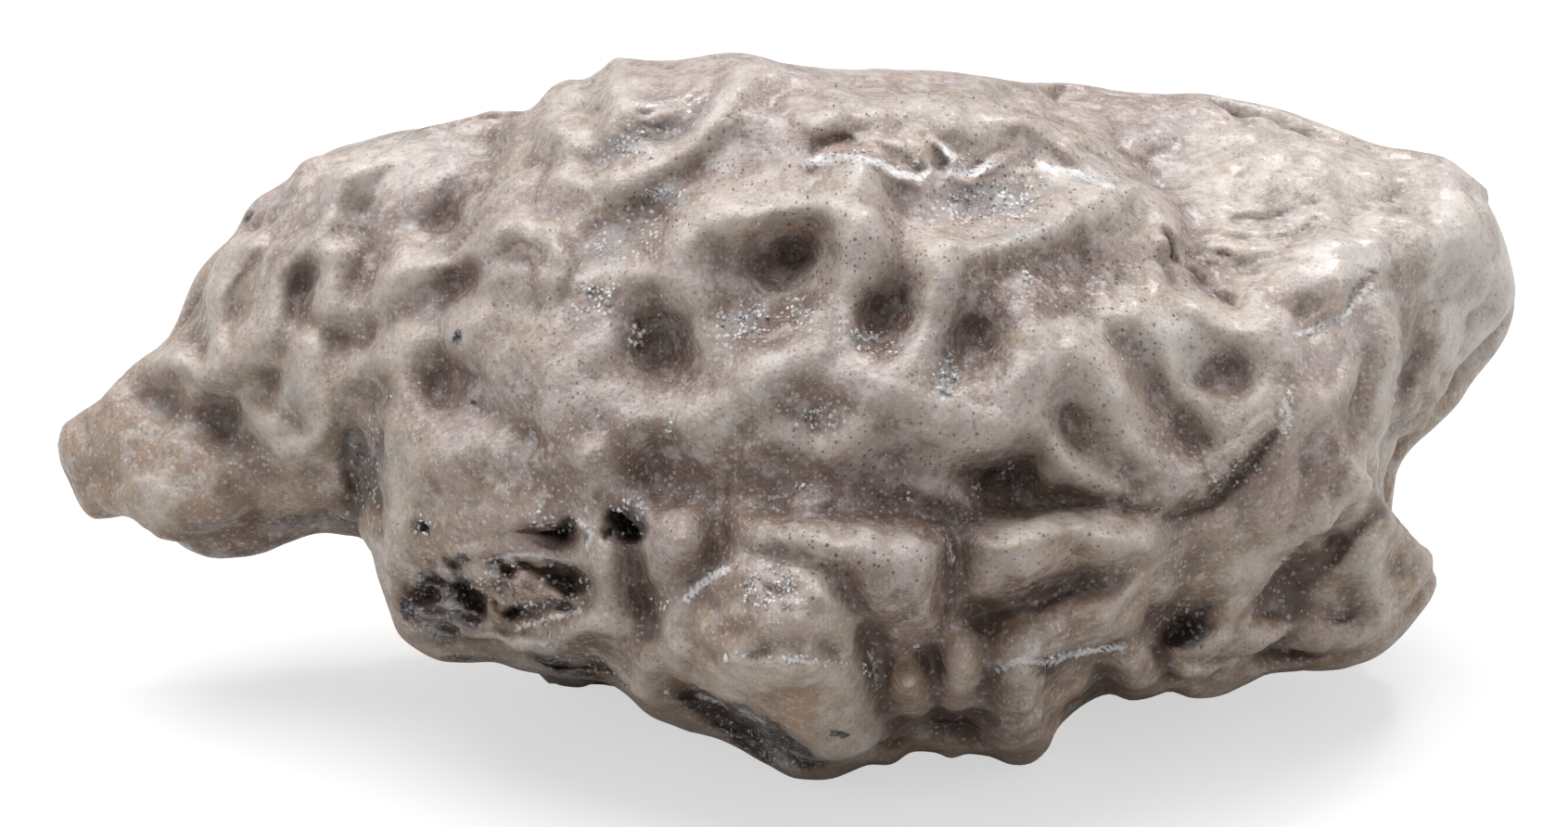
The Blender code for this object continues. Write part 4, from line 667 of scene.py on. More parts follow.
# Each group of grains is (x, y, half length, half width, turn in degrees, count, size, tone). Tone 0 is
# dark and 1 is white.
GRAIN_GROUPS = {
    "pit crystals": (806, 350, 30, 18, -10, 60, 3.2, 0.8),
    "pit crystals right": (862, 338, 13, 12, 0, 30, 3.2, 0.85),
    "pit core grains": (852, 272, 20, 14, 0, 20, 2.6, 0.3),
    "middle pit crystals": (928, 368, 16, 14, 0, 34, 3.2, 0.8),
    "middle pit edge": (960, 376, 12, 9, 0, 16, 3.2, 0.9),
    "grey cluster": (1017, 405, 12, 22, 10, 70, 4.4, 0.65),
    "white fleck": (690, 362, 9, 17, 20, 34, 4.2, 0.95),
    "cheek crystals": (646, 326, 24, 18, -10, 44, 2.8, 0.85),
    "crest dish": (1068, 220, 58, 22, 0, 90, 2.4, 0.7),
    "crest hollow": (690, 156, 32, 14, -20, 50, 2.6, 0.7),
    "speckled hollow": (716, 212, 24, 13, 0, 34, 2.6, 0.7),
    "rosette": (830, 634, 28, 24, 0, 80, 3.0, 0.85),
    "scroll dots": (862, 706, 74, 3, 6, 60, 3.0, 0.98),
    "scroll dots end": (936, 724, 16, 3, 40, 14, 3.0, 0.98),
    "scroll side grains": (714, 648, 14, 8, 40, 12, 3.4, 0.9),
    "scroll grain": (785, 703, 5, 4, 0, 5, 4.0, 1.0),
    "scroll grain two": (720, 743, 5, 4, 0, 4, 3.6, 0.95),
    "crystal ring": (462, 567, 13, 12, 0, 26, 3.2, 0.85),
    "dark crystal": (497, 367, 5, 6, 0, 8, 4.4, 0.05),
    "corner grains": (478, 648, 44, 42, 0, 90, 3.4, 0.35),
    "break grains": (578, 626, 70, 30, 10, 120, 3.0, 0.85),
    "hole rim grains": (682, 556, 26, 24, 0, 44, 3.0, 0.85),
    "second hole rim": (604, 562, 28, 14, 0, 34, 3.0, 0.8),
    "shelf grain": (1105, 300, 3, 3, 0, 4, 3.8, 1.0),
    "seam grain": (863, 524, 3, 3, 0, 4, 3.8, 0.9),
    "seam grain two": (980, 535, 3, 3, 0, 4, 3.8, 0.9),
    "knob grain": (985, 692, 4, 4, 0, 5, 4.0, 0.85),
    "seam pit grains": (1084, 506, 12, 8, 20, 12, 3.4, 0.8),
    "seam pit grains left": (1044, 526, 10, 12, 60, 10, 3.2, 0.8),
    "cheek grain": (725, 460, 4, 5, 0, 5, 3.4, 1.0),
    "crevice sparkles": (1382, 446, 8, 28, 0, 34, 3.2, 0.95),
    "crevice grains": (1322, 514, 54, 18, -38, 60, 3.0, 0.6),
    "ring grains": (878, 452, 26, 12, 0, 34, 2.8, 0.75),
    "throat grains": (400, 510, 22, 46, 8, 60, 3.2, 0.4),
    "black slot grains": (1276, 676, 20, 28, -30, 40, 3.4, 0.4),
    "tongue grains": (818, 802, 54, 12, 32, 60, 2.8, 0.55),
    "lip grains": (640, 716, 60, 12, 26, 40, 3.2, 0.5),
    "chip grains": (940, 176, 70, 8, 6, 50, 2.6, 0.95),
    "chip grains right": (1040, 180, 30, 9, 0, 26, 2.6, 0.95),
    "ledge grains": (1440, 344, 40, 8, -30, 30, 2.6, 1.0),
    "haunch grains": (1136, 706, 68, 4, -14, 54, 3.0, 1.0),
    "face grains": (900, 330, 380, 240, 0, 160, 1.9, 0.9),
    "dark face grains": (960, 330, 360, 240, 0, 160, 1.7, 0.1),
    "flank grains": (560, 470, 150, 100, 0, 60, 2.0, 0.85),
}
GRAIN_SEED = 31
# The sizes and stretches of grains as shares of their group's size, how far each is moved by chance, the
# share of its size by which it stands out, and how much its tone may differ from its group's.
GRAIN_SIZES = (0.45, 1.2)
GRAIN_STRETCH = (0.55, 1.15)
GRAIN_SCATTER = 2
GRAIN_LIFT = 0.15
TONE_SPREAD = 0.2

# Each set of fine swellings is (wavelength, height, seed), the billows round bumps with sharp creases.
FINE_SWELLINGS = [(27, 3.2, 41), (14, 1.2, 42)]
BILLOWS = [(62, 11.0, 43), (33, 5.0, 44)]
BILLOW_MEAN = 0.3
ROUGH_SEED = 45
# How far out of its oval a rough patch still counts, and how steep the sides of wells and stains are.
PATCH_REACH = 1.6
WELL_POWER = 4
STAIN_POWER = 3

SLIGHT_BEND = 4.0
SLIGHT_WAVELENGTH = 26.0
BACK_BEND = 34.0
BACK_BEND_WAVELENGTH = 58.0
# The wavelength and height of each swelling in the chance clouds of the hidden sides.
BACK_CLOUD = [(128.0, 0.6), (61.0, 0.5), (29.0, 0.3)]
BACK_RANGE = (0.1, 0.7)
BACK_STRENGTH = 0.6
STAIN_SEED = 60
# How far each side of the outline the face's stains give way to those of the hidden sides, as a sine.
FACE_BORDER = 0.12
# The stains that the hidden sides go without.
FACE_STAINS = ("hole", "speck")
# Each relief that the material reads is (reach in points, height at which it is full).
RELIEFS = {"broad relief": (8, 16), "fine relief": (2, 4)}

RIB_SPREAD = 1.25
# How many times, and over how many points each way, the ridges and pits are averaged.
SOFTENING_ROUNDS = 3
SOFTENING_REACH = 1
CLUMP = 9.0

GROUND_DARK = (0.28, 0.215, 0.19, 1)
GROUND_LIGHT = (0.46, 0.385, 0.37, 1)
GROUND_WARM = (0.36, 0.27, 0.215, 1)
GROUND_PALE = (0.62, 0.57, 0.55, 1)
OCHRE = (0.37, 0.28, 0.20, 1)
CREST = (0.62, 0.565, 0.53, 1)
MAUVE = (0.21, 0.16, 0.155, 1)
# Painted shade over the lower lumps and the middle band.
BROAD_SHADE = (0.17, 0.10, 0.066, 1)
# Painted shade for the hollows and creases, and also the dark of the chance mottling.
SHADE_AND_DARK_MOTTLE = (0.16, 0.098, 0.076, 1)
PINK = (0.46, 0.34, 0.32, 1)
TAN = (0.40, 0.26, 0.165, 1)
BUFF = (0.33, 0.217, 0.137, 1)
# Painted shade, the deepest, for the hollows of the lower part.
DEEPEST_SHADE = (0.085, 0.048, 0.034, 1)
# Painted shade for the pits, seams and the ground under ledges.
PIT_AND_LEDGE_SHADE = (0.17, 0.10, 0.078, 1)
# The paler stone, also used as painted light.
PALE_STONE_AND_LIGHT = (0.66, 0.61, 0.565, 1)
GREY = (0.25, 0.25, 0.255, 1)
RUST = (0.36, 0.235, 0.195, 1)
# Painted shade, near black, for the holes and cavities.
HOLE_SHADE = (0.022, 0.019, 0.018, 1)
BLACK_SPECK = (0.05, 0.042, 0.038, 1)
# White crystal flecks, also used for painted highlights along edges.
WHITE_FLECK_AND_GLINT = (0.85, 0.85, 0.88, 1)
DARK_GRAIN = (0.03, 0.03, 0.035, 1)
WHITE_GRAIN = (0.8, 0.79, 0.78, 1)
FLOOR_SEEN = (0.45, 0.45, 0.45, 1)
FLOOR_SEEN_DULL = (0.42, 0.42, 0.425, 1)
FLOOR_GLOW = (0.6, 0.6, 0.6, 1)
FLOOR_THROWN = (0.54, 0.535, 0.515, 1)

# Each cloud of the stone is (scale, low, high): its mask goes from 0 to 1 between the two noise values.
CLOUDS = {
    "wide": (240.0, 0.38, 0.62),
    "patchy": (560.0, 0.48, 0.66),
    "middling": (1000.0, 0.36, 0.64),
    "milky": (1500.0, 0.5, 0.64),
    "small": (2600.0, 0.36, 0.64),
    "fine": (7000.0, 0.3, 0.7),
    "dusty": (15000.0, 0.5, 0.66),
}
# The stains in the order in which they are laid on: (name, colour, strength).
UNDER_STAINS = [("pink", PINK, 0.6), ("mauve", MAUVE, 0.85)]
# The second of these middle stains is painted shade.
MIDDLE_STAINS = [("tan", TAN, 0.75), ("broad_shade", BROAD_SHADE, 0.8)]
# The first of these top stains is painted shade, and the second is partly painted light.
TOP_STAINS = [("pit_and_ledge_shade", PIT_AND_LEDGE_SHADE, 0.6), ("pale", PALE_STONE_AND_LIGHT, 0.7), ("grey", GREY, 0.7), ("rust", RUST, 0.7)]
# The shares between which a torn stain's edge lies.
STAIN_EDGE = (0.3, 0.65)

LENS = 600.0
SENSOR = 36.0
SHARP_DEPTH = 60.0
FLOOR_SIDE = 1.6
# The heights over which the lower part turns buff: darker and warmer towards the bottom.
BUFF_FROM = 0.0128
BUFF_FULL = 0.0055
# The heights between which the ochre of the ridges weakens, and its strengths at them.
OCHRE_HEIGHTS = (0.008, 0.015)
OCHRE_STRENGTHS = (0.75, 0.4)

# Each soft light is (place, side in metres, watts).
SOFT_LIGHTS = {
    "overhead softbox": ((-0.04, 0.02, 0.26), 0.3, 0.95),
    "front fill": ((0.06, -0.3, 0.14), 0.2, 0.03),
    "right fill": ((0.3, 0.02, 0.08), 0.16, 0.2),
    "left fill": ((-0.3, -0.12, 0.12), 0.16, 0.14),
    "rear sheen": ((0.08, 0.14, 0.2), 0.04, 0.14),
}
LIGHT_AIM = (0, 0, 0.01)
SKY_STRENGTH = 0.325


def through(knots, column, stations):
    """A smooth curve through the knots of a table: cubic pieces whose slopes are the knots' mean slopes."""
    at = np.array([knot[0] for knot in knots], float)
    value = np.array([knot[column] for knot in knots], float)
    slope = np.gradient(value, at)
    piece = np.clip(np.searchsorted(at, stations, side="right") - 1, 0, len(at) - 2)
    span = at[piece + 1] - at[piece]
    t = (stations - at[piece]) / span
    return (
        (2 * t**3 - 3 * t**2 + 1) * value[piece]
        + (t**3 - 2 * t**2 + t) * span * slope[piece]
        + (3 * t**2 - 2 * t**3) * value[piece + 1]
        + (t**3 - t**2) * span * slope[piece + 1]
    )


def smooth_step(low, high, value):
    """0 below low, 1 above high, and an S-shaped curve between them."""
    t = np.clip((value - low) / (high - low), 0, 1)
    return t * t * (3 - 2 * t)


def grid_places(rows, columns):
    """The stations and angles of a grid, with more columns to an angle on the front."""
    step = np.linspace(0, 1, rows + 1)
    station = 100 * (step - END_CROWDING * np.sin(2 * math.pi * step))
    on_front = round(columns * FRONT_SHARE)
    front = np.linspace(0, math.pi, on_front, endpoint=False)
    rear = np.linspace(math.pi, 2 * math.pi, columns - on_front, endpoint=False)
    return np.meshgrid(station, np.concatenate([front, rear]), indexing="ij")


def loft(station, angle):
    """The plain stone: the points (x, y, w) at some stations and angles.

    At each station the section is a rounded oval. Its upright axis joins the top edge to the bottom edge,
    and its other axis runs from the front half depth to the back half depth. The angle starts at the top
    edge, goes down the front and comes up the back.
    """
    top_x, top_y = through(TOP_EDGE, 1, station), through(TOP_EDGE, 2, station)
    bottom_x, bottom_y = through(BOTTOM_EDGE, 1, station), through(BOTTOM_EDGE, 2, station)
    middle, front_depth, back_depth = [through(DEPTHS, column, station) for column in (1, 2, 3)]
    on_back = np.sin(angle) < 0
    roundness = np.where(on_back, BACK_ROUNDNESS, FRONT_ROUNDNESS)
    upright = np.sign(np.cos(angle)) * np.abs(np.cos(angle)) ** roundness
    forward = np.sign(np.sin(angle)) * np.abs(np.sin(angle)) ** roundness
    x = (top_x + bottom_x) / 2 + (top_x - bottom_x) / 2 * upright
    y = (top_y + bottom_y) / 2 + (top_y - bottom_y) / 2 * upright
    w = middle - np.maximum(np.where(on_back, back_depth, front_depth), 0) * forward
    return np.stack([x, y, w], axis=-1)


def outward(points):
    """Directions square to a grid, from the differences along it and around it.

    They are averaged over neighbouring rows, so that neighbours don't cross where the outline has a kink.
    """
    along = np.gradient(points, axis=0)
    around = np.roll(points, -1, axis=1) - np.roll(points, 1, axis=1)
    normal = np.cross(around, along)
    normal /= np.maximum(np.linalg.norm(normal, axis=-1, keepdims=True), 1e-9)
    reach = max(1, round(AVERAGED_SHARE * len(points)))
    total = np.cumsum(np.pad(normal, ((reach + 1, reach), (0, 0), (0, 0)), mode="edge"), axis=0)
    normal = total[2 * reach + 1 :] - total[: -2 * reach - 1]
    return normal / np.maximum(np.linalg.norm(normal, axis=-1, keepdims=True), 1e-9)


def line_distance(x, y, line):
    """From each point of the face to a line of straight pieces: the distance, the side and the share of the
    line's length passed at the nearest point.

    The side is 1 on the right of the line and -1 on its left.
    """
    nearest = np.full(x.shape, np.inf)
    side = np.ones(x.shape)
    passed = np.zeros(x.shape)
    lengths = [math.dist(start, end) for start, end in zip(line, line[1:])]
    for number, ((ax, ay), (bx, by)) in enumerate(zip(line, line[1:])):
        dx, dy = bx - ax, by - ay
        t = np.clip(((x - ax) * dx + (y - ay) * dy) / (dx * dx + dy * dy), 0, 1)
        gap = np.hypot(x - ax - t * dx, y - ay - t * dy)
        closer = gap < nearest
        side = np.where(closer, np.sign((y - ay) * dx - (x - ax) * dy), side)
        passed = np.where(closer, sum(lengths[:number]) + t * lengths[number], passed)
        nearest = np.where(closer, gap, nearest)
    return nearest, side, passed / sum(lengths)


def oval_distance(x, y, middle_x, middle_y, half_length, half_width, turn):
    """The distance from an oval's middle, measured so that it is 1 on the oval."""
    c, s = math.cos(math.radians(turn)), math.sin(math.radians(turn))
    along = (x - middle_x) * c + (y - middle_y) * s
    across = (y - middle_y) * c - (x - middle_x) * s
    return np.hypot(along / half_length, across / half_width)


def line_relief(x, y, lines, left_at_ends=1.0):
    """The highest of the bells along some lines, so that lines join without piling up.

    The share left_at_ends of a line's height is left at its two ends.
    """
    relief = np.zeros(x.shape)
    for rise, half_width, line in lines.values():
        distance, _, passed = line_distance(x, y, line)
        along = smooth_step(0, END_FADE, passed) * smooth_step(0, END_FADE, 1 - passed)
        height = rise * (left_at_ends + (1 - left_at_ends) * along)
        relief = np.maximum(relief, height * np.exp(-((distance / half_width) ** 2)))
    return relief


def step_relief(x, y):
    """How far the ground has fallen away beyond the steps."""
    fallen = np.zeros(x.shape)
    for drop, half_width, reach, line in STEPS.values():
        distance, side, passed = line_distance(x, y, line)
        over = smooth_step(-half_width, half_width, distance * side)
        taper = smooth_step(0, STEP_TAPER, passed) * smooth_step(0, STEP_TAPER, 1 - passed)
        fallen += drop * taper * over * np.exp(-((distance / reach) ** 2))
    return fallen


def broad_relief(x, y):
    """How far the broad forms of the ornamented face stand out of the loft. Each is a bell."""
    relief = -step_relief(x, y)
    for *place, rise in BROAD_FORMS.values():
        relief += rise * np.exp(-(oval_distance(x, y, *place) ** BROAD_POWER))
    return relief


def fine_relief(x, y):
    """How far the ridges, grooves and pits stand out. A pit is a bell with a rather flat floor."""
    relief = line_relief(x, y, RIDGES) - line_relief(x, y, GROOVES, GROOVE_ENDS)
    for *place, depth in PITS.values():
        relief -= depth * np.exp(-(oval_distance(x, y, *place) ** PIT_POWER))
    return relief


def swelling(points, wavelength, seed):
    """Soft lumps, from -1 to 1: chance values at the corners of cubes, blended smoothly between them."""
    chance = np.random.default_rng(seed).uniform(-1, 1, (16, 16, 16))
    place = points / wavelength
    cell = np.floor(place).astype(int)
    blend = place - cell
    blend = blend * blend * (3 - 2 * blend)
    total = np.zeros(points.shape[:-1])
    for corner in np.ndindex(2, 2, 2):
        share = np.prod(np.where(corner, blend, 1 - blend), axis=-1)
        i, j, k = np.moveaxis((cell + corner) % 16, -1, 0)
        total += share * chance[i, j, k]
    return total


def plate_links():
    """The lines that join the centres of neighbouring plates, as pairs of points in space.

    The centres stand in rings round the stone, and every second ring is turned by half a plate.
    """
    ring, place = np.meshgrid(np.arange(PLATE_ROWS), np.arange(PLATES_AROUND), indexing="ij")
    turn = place + 0.5 * (ring % 2) + 0.16 * np.sin(3.1 * ring + 1.7 * place)
    station = 100 * (ring + 1 + 0.2 * np.sin(2.3 * place + ring)) / (PLATE_ROWS + 1)
    centre = loft(station, 2 * math.pi * ((turn / PLATES_AROUND) % 1.0))
    links = []
    for i, j in np.ndindex(PLATE_ROWS, PLATES_AROUND):
        links.append((centre[i, j], centre[i, (j + 1) % PLATES_AROUND]))
        if i + 1 < PLATE_ROWS:
            shift = i % 2
            links.append((centre[i, j], centre[i + 1, (j + shift) % PLATES_AROUND]))
            links.append((centre[i, j], centre[i + 1, (j + shift - 1) % PLATES_AROUND]))
    return links


def plate_pits(points):
    """How far the plates are sunk between the ridges that join their centres."""
    ridge = np.zeros(points.shape[:-1])
    links = plate_links()
    strengths = np.random.default_rng(PLATE_SEED).uniform(0.45, 1, len(links))
    for (start, end), strength in zip(links, strengths):
        span = end - start
        t = np.clip((points - start) @ span / (span @ span), 0, 1)
        away = np.linalg.norm(points - start - t[..., None] * span, axis=-1)
        ridge = np.maximum(ridge, strength * np.exp(-((away / PLATE_RIDGE_WIDTH) ** 2)))
    return PLATE_PIT_DEPTH * (1 - ridge)


def rear_relief(points):
    """How far the lumps of the hidden sides stand out, and what they leave of the plates there."""
    raised = np.zeros(points.shape[:-1])
    left = np.ones(points.shape[:-1])
    for *place, radius, rise in REAR_LUMPS.values():
        bell = np.exp(-((np.linalg.norm(points - place, axis=-1) / radius) ** 2))
        raised += rise * bell
        left *= 1 - bell
    return raised - left * plate_pits(points)


def bent(base, amount, wavelength):
    """The x and y of the face, each moved sideways by a swelling, so that no line of the face is ruled."""
    return [base[..., axis] + amount * swelling(base, wavelength, BEND_SEEDS[axis]) for axis in (0, 1)]


def looks_relief(x, y):
    """The small forms of the face: each line is a bell across it, each pit a well with steep walls."""
    relief = np.zeros(x.shape)
    for rise, half_width, line in FINE_LINES.values():
        relief += rise * np.exp(-((line_distance(x, y, line)[0] / half_width) ** 2))
    for *place, depth in FINE_PITS.values():
        relief -= depth * np.exp(-(oval_distance(x, y, *place) ** WELL_POWER))
    return relief


def rough_relief(points, x, y):
    """Broken ground in the rough patches: a bell times two swellings, one half as long as the other."""
    relief = np.zeros(x.shape)
    for number, (*place, height, wavelength) in enumerate(ROUGH_PATCHES.values()):
        near = oval_distance(x, y, *place) < PATCH_REACH
        bell = np.exp(-(oval_distance(x[near], y[near], *place) ** WELL_POWER))
        coarse = swelling(points[near], wavelength, ROUGH_SEED + number)
        fine = swelling(points[near], wavelength / 2, ROUGH_SEED + number)
        relief[near] += height * bell * (coarse + 0.5 * fine)
    return relief


def formed(base, station, angle):
    """The loft with its forms: the face moves only towards the viewer or away, so that the outline stays,
    and the hidden sides move square to the surface, behind the outline only."""
    x, y = base[..., 0], base[..., 1]
    normal = outward(base)
    frontness = np.sin(angle)
    steepness = np.clip(-normal[..., 2], 0.5, 1)
    forms = fine_relief(*bent(base, BEND, BEND_WAVELENGTH)) / steepness
    for _ in range(SOFTENING_ROUNDS):
        forms = blurred(forms[..., None], SOFTENING_REACH)[..., 0]
    raised = broad_relief(x, y) + forms
    raised += looks_relief(*bent(base, SLIGHT_BEND, SLIGHT_WAVELENGTH)) + rough_relief(base, x, y)
    room = SINKING_ROOM * (through(DEPTHS, 1, station) - base[..., 2]) + 1e-6
    raised = np.where(raised < 0, -room * np.tanh(-raised / np.abs(room)), raised)
    points = base.copy()
    points[..., 2] -= raised * smooth_step(0, 0.3, frontness)
    hidden = smooth_step(0, 0.45, np.abs(frontness)) * (1 - smooth_step(0.1, 0.45, frontness))
    return points + normal * (rear_relief(base) * hidden)[..., None]


def stone_grid(station, angle):
    """The stone's points in face units: the formed loft, with soft lumps, billows and fine swellings.

    A billow is the size of a swelling without its sign, which gives round bumps with sharp creases between.
    """
    base = loft(station, angle)
    at_ends = smooth_step(0, 3, station) * smooth_step(0, 3, 100 - station)
    points = base + (formed(base, station, angle) - base) * at_ends[..., None]
    lumps = sum(height * swelling(points, wavelength, seed) for wavelength, height, seed in SWELLINGS)
    off_edge = OUTLINE_SHARE + (1 - OUTLINE_SHARE) * smooth_step(0, 0.35, np.abs(np.sin(angle)))
    points = points + outward(base) * (lumps * off_edge * at_ends)[..., None]
    small = sum(height * swelling(points, wavelength, seed) for wavelength, height, seed in FINE_SWELLINGS)
    for wavelength, height, seed in BILLOWS:
        small = small + height * (np.abs(swelling(points, wavelength, seed)) - BILLOW_MEAN)
    return points + outward(points) * (small * off_edge * at_ends)[..., None]


def leaned(points):
    """Face units with the face leaning back and z up, counted from the surface that the stone lies on."""
    x, up, back = points[..., 0], -points[..., 1], points[..., 2]
    y = up * math.sin(LEAN) + back * math.cos(LEAN)
    z = up * math.cos(LEAN) - back * math.sin(LEAN)
    floor = -FLOOR_POINT[1] * math.cos(LEAN) - FLOOR_POINT[2] * math.sin(LEAN)
    return np.stack([x, y, z - floor], axis=-1)


def blurred(grid, reach):
    """The mean over a square of neighbours, which wraps round the stone and stops at its two ends."""
    size = 2 * reach + 1
    total = np.cumsum(np.pad(grid, ((reach + 1, reach), (0, 0), (0, 0)), mode="edge"), axis=0)
    rows = (total[size:] - total[:-size]) / size
    around = np.concatenate([rows[:, -reach - 1 :], rows, rows[:, :reach]], axis=1)
    total = np.cumsum(around, axis=1)
    return (total[:, size:] - total[:, :-size]) / size


def stood_out(grid, reach, span):
    """How far each point stands out of the mean of its neighbours: 0.5 where it is level, 1 at span above."""
    mean = blurred(grid, reach)
    height = np.sum((grid - mean) * outward(grid), axis=-1)
    return np.clip(0.5 + 0.5 * height / span, 0, 1)


def face_share(frontness):
    """1 on the face and 0 behind it, with an S-shaped curve across the outline."""
    return smooth_step(-FACE_BORDER, FACE_BORDER, frontness)


def bent_places(points):
    """The points moved by soft chance amounts each way, so that what is laid out on them looks grown."""
    moves = [swelling(points, BACK_BEND_WAVELENGTH, STAIN_SEED - 1 - axis) for axis in range(3)]
    return points + BACK_BEND * np.stack(moves, axis=-1)


def stain(points, places, frontness, ovals, seed):
    """How strong a stain is: bells in its ovals on the face, and behind, the peaks of a chance cloud that
    adds swellings of falling wavelength and height."""
    x, y = points[..., 0], points[..., 1]
    on_face = np.zeros(x.shape)
    for *place, strength in ovals:
        on_face = np.maximum(on_face, strength * np.exp(-(oval_distance(x, y, *place) ** STAIN_POWER)))
    cloud = sum(height * swelling(places, wavelength, seed) for wavelength, height in BACK_CLOUD)
    behind = BACK_STRENGTH * smooth_step(*BACK_RANGE, cloud)
    share = face_share(frontness)
    return on_face * share + behind * (1 - share)


def rib_share(base, frontness):
    """1 on the crest of a ridge and 0 away from it: the ridges of the face, and the plate ridges behind."""
    widened = {name: (1, RIB_SPREAD * half_width, line) for name, (_, half_width, line) in RIDGES.items()}
    on_face = line_relief(*bent(base, BEND, BEND_WAVELENGTH), widened)
    behind = 1 - plate_pits(base) / PLATE_PIT_DEPTH
    share = face_share(frontness)
    return on_face * share + behind * (1 - share)


def closed_mesh(name, grid):
    """A closed mesh from a grid that wraps round in its second direction and meets in a point at each end."""
    rows, columns = grid.shape[0] - 1, grid.shape[1]
    points = np.concatenate([grid[1:rows].reshape(-1, 3), grid[:1, 0], grid[rows:, 0]])
    left_tip = (rows - 1) * columns
    place = np.arange(left_tip).reshape(rows - 1, columns)
    following = np.roll(place, -1, axis=1)
    around = np.stack([place[:-1], following[:-1], following[1:], place[1:]], axis=-1).reshape(-1, 4)
    left_fan = np.stack([np.full(columns, left_tip), following[0], place[0]], axis=-1)
    right_fan = np.stack([np.full(columns, left_tip + 1), place[-1], following[-1]], axis=-1)
    mesh = bpy.data.meshes.new(name)
    mesh.from_pydata(points.tolist(), [], around.tolist() + left_fan.tolist() + right_fan.tolist())
    mesh.shade_smooth()
    return mesh


def keep_on_points(mesh, name, values):
    """Stores one number for each point under a name that a material can read."""
    values = np.ascontiguousarray(values, dtype=np.float32).ravel()
    mesh.attributes.new(name, "FLOAT", "POINT").data.foreach_set("value", values)


def in_mesh_order(grid):
    """A grid's values in the order of closed_mesh: all inner rows, then the left tip and the right end."""
    return np.concatenate([grid[1:-1].ravel(), grid[0, :1], grid[-1, :1]])


def crystal():
    """The points and faces of a crystal of eight triangles: one point at each end of three crossing rods."""
    points = np.concatenate([np.eye(3), -np.eye(3)])
    faces = []
    for i, j, k in [(0, 1, 2), (1, 3, 2), (3, 4, 2), (4, 0, 2)]:
        faces += [(i, j, k), (j, i, 5)]
    return points, np.array(faces)


def any_turns(count, rng):
    """Turns picked by chance, as matrices made from unit quaternions (a, b, c, d)."""
    quaternions = rng.normal(size=(4, count))
    a, b, c, d = quaternions / np.linalg.norm(quaternions, axis=0)
    rows = [
        [1 - 2 * (c * c + d * d), 2 * (b * c - a * d), 2 * (b * d + a * c)],
        [2 * (b * c + a * d), 1 - 2 * (b * b + d * d), 2 * (c * d - a * b)],
        [2 * (b * d - a * c), 2 * (c * d + a * b), 1 - 2 * (b * b + c * c)],
    ]
    return np.moveaxis(np.array(rows), -1, 0)


def grain_places(grid, frontness, rng):
    """The middle, size and tone of each grain, on points of the stone picked by chance in each group's oval.

    Twice as many points are tried as are kept, and those where a swelling is highest stay, so grains clump.
    """
    seen = frontness.ravel() > FACE_BORDER
    points = grid.reshape(-1, 3)
    out = outward(grid).reshape(-1, 3)
    middles, sizes, tones = [], [], []
    for *place, count, size, tone in GRAIN_GROUPS.values():
        away = np.where(seen, oval_distance(points[:, 0], points[:, 1], *place), np.inf)
        inside = np.argsort(away)[: max(3, np.count_nonzero(away < 1))]
        tried = rng.choice(inside, 2 * count)
        chosen = tried[np.argsort(-swelling(points[tried], CLUMP, GRAIN_SEED))[:count]]
        reach = size * rng.uniform(*GRAIN_SIZES, count)
        scatter = rng.uniform(-GRAIN_SCATTER, GRAIN_SCATTER, (count, 3))
        middles.append(points[chosen] + scatter + out[chosen] * (GRAIN_LIFT * reach)[:, None])
        sizes.append(reach)
        tones.append(np.clip(tone + rng.uniform(-TONE_SPREAD, TONE_SPREAD, count), 0, 1))
    return np.concatenate(middles), np.concatenate(sizes), np.concatenate(tones)


def grain_mesh(name, middles, sizes, tones, rng):
    """Each grain is the crystal stretched three ways, turned by chance and set at its middle."""
    points, faces = crystal()
    count = len(sizes)
    stretch = sizes[:, None, None] * rng.uniform(*GRAIN_STRETCH, (count, 1, 3))
    shaped = np.einsum("gij,gpj->gpi", any_turns(count, rng), points[None] * stretch) + middles[:, None]
    numbered = faces[None] + len(points) * np.arange(count)[:, None, None]
    mesh = bpy.data.meshes.new(name)
    mesh.from_pydata(shaped.reshape(-1, 3).tolist(), [], numbered.reshape(-1, 3).tolist())
    keep_on_points(mesh, "tone", np.repeat(tones, len(points)))
    return mesh


def add(tree, kind, inputs=(), **settings):
    """A new node with its settings; each input is a value, or the socket that feeds it."""
    node = tree.nodes.new(kind)
    for name, value in settings.items():
        setattr(node, name, value)
    for key, value in dict(inputs).items():
        if isinstance(value, bpy.types.NodeSocket):
            tree.links.new(value, node.inputs[key])
        else:
            node.inputs[key].default_value = value
    return node


def reckoned(tree, operation, first, second=0.0):
    """The first number and the second put through one operation."""
    return add(tree, "ShaderNodeMath", {0: first, 1: second}, operation=operation).outputs[0]


def share_between(tree, value, low, high, to_low=0.0, to_high=1.0):
    """to_low below low, to_high above high, and a straight line between them."""
    inputs = {"Value": value, "From Min": low, "From Max": high, "To Min": to_low, "To Max": to_high}
    return add(tree, "ShaderNodeMapRange", inputs, clamp=True).outputs[0]


def over(tree, ground, colour, share):
    """A colour laid over a ground by a share."""
    return add(tree, "ShaderNodeMix", {0: share, 6: ground, 7: colour}, data_type="RGBA").outputs[2]


def lay(tree, ground, colour, share, strength):
    """A colour laid over a ground by a share times a strength."""
    return over(tree, ground, colour, reckoned(tree, "MULTIPLY", share, strength))


def on_points(tree, name):
    """The number that the mesh keeps on its points under a name."""
    return add(tree, "ShaderNodeAttribute", attribute_name=name).outputs["Fac"]


